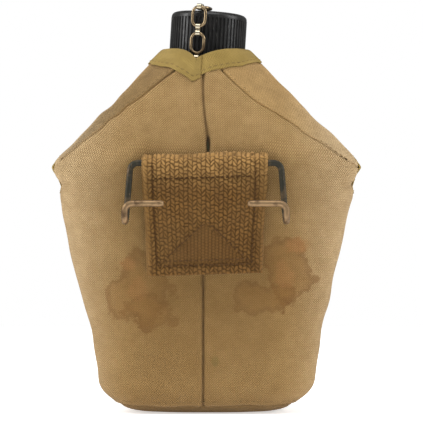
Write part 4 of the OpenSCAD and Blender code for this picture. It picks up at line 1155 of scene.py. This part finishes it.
def patch_webbing():
    """Heavy cotton webbing, dark brown below and paler where it folds over the bar."""
    material, tree, shader = new_material("patch webbing", 0.88, Specular_IOR_Level=0.15, Sheen_Weight=0.03)
    place = place_of(tree)
    tone = use_group(tree, FADING, place)
    spot = add(tree, "SeparateXYZ")
    link(tree, place, spot.inputs[0])
    high = span(tree, spot.outputs[2], 0.112, 0.126)
    colour = blend_colour(tree, high, (0.165, 0.079, 0.018), (0.38, 0.215, 0.07))
    # painted shade: a darker triangle inside the crossed stitching
    beside = calc(tree, "MULTIPLY", calc(tree, "ABSOLUTE", spot.outputs[0]), 0.87)
    wedge = calc(tree, "ADD", beside, spot.outputs[2])
    inside = calc(tree, "MULTIPLY", span(tree, wedge, 0.097, 0.102, 1.0, 0.0),
                  span(tree, spot.outputs[2], 0.074, 0.079))
    colour = tint(tree, colour, inside, 0.4, (0.075, 0.032, 0.008))
    # painted shade in the grooves between the webbing's cords
    cord = add(tree, "Attribute", attribute_name="cord_height").outputs["Fac"]
    colour = blend_colour(tree, span(tree, cord, 0.2, 0.8, 0.8, 0.0), colour, (0.045, 0.02, 0.005))
    colour = tint(tree, colour, tone.outputs["Mottle"], 0.5, (0.085, 0.04, 0.012))
    colour = tint(tree, colour, tone.outputs["Cloud"], 0.25, (0.2, 0.115, 0.04))
    aside = span(tree, calc(tree, "ABSOLUTE", spot.outputs[0]), 0.026, 0.0315)
    colour = tint(tree, colour, aside, 0.3, (0.24, 0.135, 0.04))
    fibre = noise(tree, place, 3000, 4, 0.7)
    colour = blend_colour(tree, span(tree, fibre, 0.45, 0.7, 0.0, 0.22), colour, (0.27, 0.16, 0.055))
    link(tree, colour, shader.inputs["Base Color"])
    bumped(tree, shader, [(fibre, 0.0003, 0.5)])
    return material


def sewing_thread(name, colour):
    material, tree, shader = new_material(name, 0.85, Specular_IOR_Level=0.2)
    tone = use_group(tree, FADING, place_of(tree))
    dark = tuple(c * 0.6 for c in colour)
    link(tree, blend_colour(tree, tone.outputs["Mottle"], colour, dark), shader.inputs["Base Color"])
    twist = add(tree, "TexWave", bands_direction="DIAGONAL")
    twist.inputs["Scale"].default_value = 900
    link(tree, place_of(tree), twist.inputs["Vector"])
    bumped(tree, shader, [(twist.outputs["Fac"], 0.00008, 0.5)])
    return material


def painted_wire():
    """Dark green-grey paint, rubbed through to bare bronze on the hooks in front."""
    material, tree, shader = new_material("painted wire", 0.5, Specular_IOR_Level=0.2)
    place = place_of(tree)
    wear = use_group(tree, WEAR, place)
    spot = add(tree, "SeparateXYZ")
    link(tree, place, spot.inputs[0])
    front = span(tree, calc(tree, "MULTIPLY", spot.outputs[1], -1.0), 0.0455, 0.0515)
    bare = calc(tree, "MAXIMUM", front, calc(tree, "MULTIPLY", wear.outputs["Rub"], 0.45))
    paint = blend_colour(tree, wear.outputs["Rub"], (0.02, 0.019, 0.012), (0.05, 0.038, 0.022))
    metal = blend_colour(tree, wear.outputs["Rub"], (0.26, 0.17, 0.09), (0.08, 0.048, 0.026))
    colour = blend_colour(tree, bare, paint, metal)
    colour = tint(tree, colour, wear.outputs["Scratch"], 0.5, (0.3, 0.2, 0.12))
    link(tree, colour, shader.inputs["Base Color"])
    link(tree, calc(tree, "MULTIPLY", bare, 0.85), shader.inputs["Metallic"])
    link(tree, span(tree, wear.outputs["Grain"], 0.3, 0.7, 0.34, 0.55), shader.inputs["Roughness"])
    bumped(tree, shader, [(wear.outputs["Rub"], 0.00015, 0.6), (wear.outputs["Grain"], 0.00004, 0.5)])
    return material


def worn_metal(name, bright, dull, place, roughness=(0.28, 0.55), rub=1.0):
    """Bare metal with tarnish that follows rubbing; place picks the coordinates' source."""
    material, tree, shader = new_material(name, 0.4, 1.0)
    wear = use_group(tree, WEAR, place(tree))
    colour = blend_colour(tree, calc(tree, "MULTIPLY", wear.outputs["Rub"], rub), bright, dull)
    scratched = tuple(min(1.0, c * 1.3) for c in bright)
    colour = tint(tree, colour, wear.outputs["Scratch"], 0.4, scratched)
    link(tree, colour, shader.inputs["Base Color"])
    link(tree, span(tree, wear.outputs["Rub"], 0, 1, *roughness), shader.inputs["Roughness"])
    bumped(tree, shader, [(wear.outputs["Rub"], 0.00012, 0.5), (wear.outputs["Grain"], 0.00003, 0.5)])
    return material


def moulded_cap():
    """Black moulded plastic, scuffed grey on its ribs and top edge."""
    material, tree, shader = new_material("moulded cap", 0.42, Specular_IOR_Level=0.3)
    place = object_place(tree)
    wear = use_group(tree, WEAR, place)
    tone = use_group(tree, FADING, place)
    colour = blend_colour(tree, tone.outputs["Cloud"], (0.006, 0.006, 0.006), (0.014, 0.0135, 0.0125))
    colour = tint(tree, colour, wear.outputs["Scratch"], 0.5, (0.07, 0.066, 0.06))
    colour = tint(tree, colour, tone.outputs["Speck"], 0.2, (0.14, 0.12, 0.09))
    link(tree, colour, shader.inputs["Base Color"])
    link(tree, span(tree, wear.outputs["Rub"], 0, 1, 0.34, 0.58), shader.inputs["Roughness"])
    bumped(tree, shader, [(wear.outputs["Grain"], 0.00006, 0.5), (wear.outputs["Rub"], 0.0001, 0.3)])
    return material


def gasket_rubber():
    material, tree, shader = new_material("gasket rubber", 0.75)
    tone = use_group(tree, FADING, object_place(tree))
    colour = blend_colour(tree, tone.outputs["Mottle"], (0.035, 0.03, 0.028), (0.08, 0.07, 0.06))
    link(tree, colour, shader.inputs["Base Color"])
    bumped(tree, shader, [(tone.outputs["Mottle"], 0.0001, 0.5)])
    return material


def dress(obj, material):
    obj.data.materials.clear()
    obj.data.materials.append(material)
    return obj


def dress_node(node, material):
    """A better finish on a CAD node that stays."""
    obj = frame["nodes"][node]
    if not obj.material_slots:
        obj.data.materials.append(material)
    for k in range(len(obj.material_slots)):
        obj.material_slots[k].material = material


CANVAS = cover_canvas("cover canvas")
# the flap canvas is a lighter copy: partly paler cloth, partly painted light
FLAP_CANVAS = cover_canvas("flap canvas", light=1.25, spills=False)
TAPE, FELT, WEBBING = binding_tape(), wool_felt(), patch_webbing()
THREAD = sewing_thread("seam thread", (0.20, 0.125, 0.05))
TAPE_THREAD = sewing_thread("tape thread", (0.26, 0.175, 0.06))
PATCH_THREAD = sewing_thread("patch stitching", (0.10, 0.048, 0.014))
HOOK_PAINT = painted_wire()
STEEL = worn_metal("brushed steel", (0.62, 0.63, 0.62), (0.38, 0.38, 0.37), place_of)
STEEL_NODE = worn_metal("brushed steel neck", (0.62, 0.63, 0.62), (0.40, 0.40, 0.39), object_place)
CHAIN_METAL = worn_metal("tarnished chain", (0.26, 0.19, 0.11), (0.09, 0.06, 0.035), object_place,
                         (0.32, 0.6))
CLIP_METAL = worn_metal("worn clip metal", (0.52, 0.46, 0.34), (0.26, 0.2, 0.12), object_place,
                        (0.3, 0.55), 0.7)
SNAP_METAL = worn_metal("blackened brass", (0.22, 0.19, 0.14), (0.48, 0.38, 0.22), place_of, (0.3, 0.55), 0.8)
CAP_PLASTIC, GASKET = moulded_cap(), gasket_rubber()

# ---------------------------------------------------------------- putting the canteen together
JOINTS = {joint["name"]: joint for joint in frame["joints"]}
FLAP_OUTWARDS = (0.726, 0.6875)


def fit(obj, material, body=None, stands_for=()):
    """Gives a piece its finish, its body and the CAD nodes it stands for."""
    dress(obj, material)
    if stands_for:
        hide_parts(*stands_for)
    if body:
        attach(obj, body)
    return obj


def bend_at_fold(obj, side):
    """Bakes a cloth piece's transform into its mesh; the axis of the fold over the shoulder, between the cover
    and a flap, is worked out but not used.
    """
    name = side_name(side)
    joint = JOINTS[f"flap_{name}_open"]
    axis = Vector(joint["axis"]).normalized()
    outwards = Vector((side * FLAP_OUTWARDS[0], 0, FLAP_OUTWARDS[1]))
    towards_front = axis.cross(outwards).normalized()
    if towards_front.y < 0:
        towards_front = -towards_front
    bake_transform(obj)


def row_normals(turn, height):
    return cover_point(turn, height, 2.0) - cover_point(turn, height, 0)


def cover_stitches():
    """Seam threads that stay with the cover."""
    runs = []
    z = np.linspace(BOTTOM_SEAM_Z + 1, TAPE_LOW_Z - 1, 260)
    for side in (-1, 1):
        for low, high in ((0, 70.5), (146, 400)):
            keep = z[(z > low) & (z < high)]
            u = np.degrees(np.arcsin((seam_x(keep) + side * STITCH_INSET) / half_width_at(keep)))
            runs.append((relief_point(u, keep, -0.05), row_normals(u, keep)))
        high = np.linspace(SHOULDER_Z + 3, TAPE_LOW_Z - 1, 160)
        u = side * (seam_turn(high, side) - np.degrees(2.4 / half_width_at(high)))
        runs.append((relief_point(u, high, -0.05), row_normals(u, high)))
    for start, end in ((-88, 88), (92, 268)):
        u = np.linspace(start, end, 200)
        zz = np.full_like(u, BOTTOM_SEAM_Z + 2.6)
        runs.append((relief_point(u, zz, -0.05), row_normals(u, zz)))
    front = np.linspace(BOTTOM_SEAM_Z + 1, MOUTH_Z - 9, 160)
    for side in (-1, 1):
        u = 180 + side * np.degrees(STITCH_INSET / half_width_at(front))
        runs.append((relief_point(u, front, -0.05), row_normals(u, front)))
    return stitch_mesh("cover_thread", runs, radius=0.2, seed=5)


def flap_stitches(side):
    """The row of thread on the flap cloth beside the shoulder seam."""
    high = np.linspace(SHOULDER_Z + 4, TAPE_LOW_Z - 1, 160)
    u = side * np.minimum(89.0, seam_turn(high, side) + np.degrees(2.2 / half_width_at(high)))
    runs = [(relief_point(u, high, -0.02), row_normals(u, high))]
    return stitch_mesh("flap_thread_" + side_name(side), runs, radius=0.22, seed=6)


for side, name in ((-1, "left"), (1, "right")):
    fit(back_half(side), CANVAS, "cover", [f"back_panel_{name}"])
    fit(front_half(side), CANVAS, "cover", [f"front_panel_{name}"])

    cloth = flap_cloth(side)
    fit(cloth, FLAP_CANVAS, None, [f"shoulder_strip_{name}", f"flap_{name}"])
    bend_at_fold(cloth, side)

    tape, row = collar_tape(side)
    fit(tape, TAPE, None, [f"neck_binding_{name}", f"flap_binding_{name}"])
    bend_at_fold(tape, side)
    thread = stitch_mesh(f"collar_thread_{name}", [row], radius=0.26, seed=7)
    fit(thread, TAPE_THREAD)
    bend_at_fold(thread, side)

    thread = fit(flap_stitches(side), THREAD)
    bend_at_fold(thread, side)

    tape, row = flap_edge_tape(side)
    fit(tape, TAPE, f"{name}_flap", [f"flap_tape_{name}"])
    thread = stitch_mesh(f"edge_thread_{name}", [row], radius=0.26, seed=8)
    fit(thread, TAPE_THREAD, f"{name}_flap")

    fit(flap_felt_lining(side), FELT, f"{name}_flap", [f"flap_felt_{name}"])
    fit(snap_cap(side), SNAP_METAL, f"{name}_flap", [f"snap_socket_{name}"])

posts = join("snap_posts", [snap_post(-1), snap_post(1)])
fit(posts, SNAP_METAL, "cover", ["snap_studs"])
fit(bottom_cloth(), CANVAS, "cover", ["bottom_panel"])
fit(back_felt_lining(), FELT, "cover", ["back_felt"])
fit(front_felt_lining(), FELT, "cover", ["front_felt"])
fit(bottom_felt_lining(), FELT, "cover", ["bottom_felt"])
tape, row = mouth_tape()
fit(tape, TAPE, "cover", ["mouth_binding"])
fit(stitch_mesh("mouth_thread", [row], radius=0.24, seed=10), TAPE_THREAD, "cover")
fit(cover_stitches(), THREAD, "cover")
fit(webbing_patch(), WEBBING, "cover", ["hook_patch"])
fit(patch_thread(), PATCH_THREAD, "cover")
fit(hook_wire(), HOOK_PAINT, "hook", ["belt_hook"])
fit(bottle_part("bottle_base", 0, WELD_Z), STEEL, "cover", ["bottle_lower_shell"])
fit(bottle_part("bottle_shoulders", WELD_Z, NECK_Z), STEEL, "cover", ["bottle_upper_shell"])

for node in ("chain_link_1", "chain_link_2", "chain_link_3", "neck_chain_loop"):
    dress_node(node, CHAIN_METAL)
for node in ("chain_clip_1", "chain_clip_2", "chain_clip_3", "cap_eye", "cap_eye_washer"):
    dress_node(node, CLIP_METAL)
dress_node("snap_plates", CLIP_METAL)
dress_node("neck_spout", STEEL_NODE)
dress_node("cap", CAP_PLASTIC)
dress_node("cap_gasket", GASKET)

# ---------------------------------------------------------------- floor, light and camera
VIEW_WIDTH = 0.220
EYE = Vector((0.0029, -1.05, 0.104))
SUBJECT_Y = -0.010


def pale_floor():
    size = 0.75
    floor = new_object("floor", [(-size / MM, -size / MM, -0.3), (size / MM, -size / MM, -0.3),
                                 (size / MM, size / MM, -0.3), (-size / MM, size / MM, -0.3)],
                       [[0, 1, 2, 3]], smooth=False)
    material, tree, shader = new_material("pale floor", 0.9)
    tone = noise(tree, object_place(tree), 3, 3)
    link(tree, blend_colour(tree, tone, (0.92, 0.92, 0.92), (0.96, 0.96, 0.96)), shader.inputs["Base Color"])
    shader.inputs["Emission Color"].default_value = (1, 1, 1, 1)
    shader.inputs["Emission Strength"].default_value = 0.55
    dress(floor, material)


def soft_light(name, place, aim, size, power):
    data = bpy.data.lights.new(name, "AREA")
    data.shape = "RECTANGLE"
    data.size, data.size_y = size
    data.energy = power
    light = bpy.data.objects.new(name, data)
    light.location = place
    light.rotation_mode = "QUATERNION"
    light.rotation_quaternion = (Vector(aim) - Vector(place)).to_track_quat("-Z", "Y")
    bpy.context.scene.collection.objects.link(light)


pale_floor()
soft_light("top softbox", (0.0, -0.40, 1.15), (0, 0, 0.1), (0.9, 0.7), 9.5)
soft_light("left softbox", (-1.0, -0.25, 0.6), (0, 0, 0.1), (0.4, 0.8), 10.5)
soft_light("right softbox", (1.0, -0.25, 0.6), (0, 0, 0.1), (0.4, 0.8), 9.0)

world = bpy.data.worlds.new("studio")
world.use_nodes = True
world.node_tree.nodes["Background"].inputs["Color"].default_value = (1, 1, 1, 1)
glow = world.node_tree.nodes["Background"].inputs["Strength"]
seen = world.node_tree.nodes.new("ShaderNodeLightPath").outputs["Is Camera Ray"]
link(world.node_tree, calc(world.node_tree, "MULTIPLY_ADD", seen, 0.76, 0.24), glow)
bpy.context.scene.world = world

camera_data = bpy.data.cameras.new("camera")
camera_data.sensor_width = 36.0
camera_data.lens = 36.0 * (SUBJECT_Y - EYE.y) / VIEW_WIDTH
camera = bpy.data.objects.new("camera", camera_data)
camera.location = EYE
camera.rotation_euler = (math.radians(90), 0, 0)
bpy.context.scene.collection.objects.link(camera)
bpy.context.scene.camera = camera
bpy.context.scene.view_settings.view_transform = "Standard"
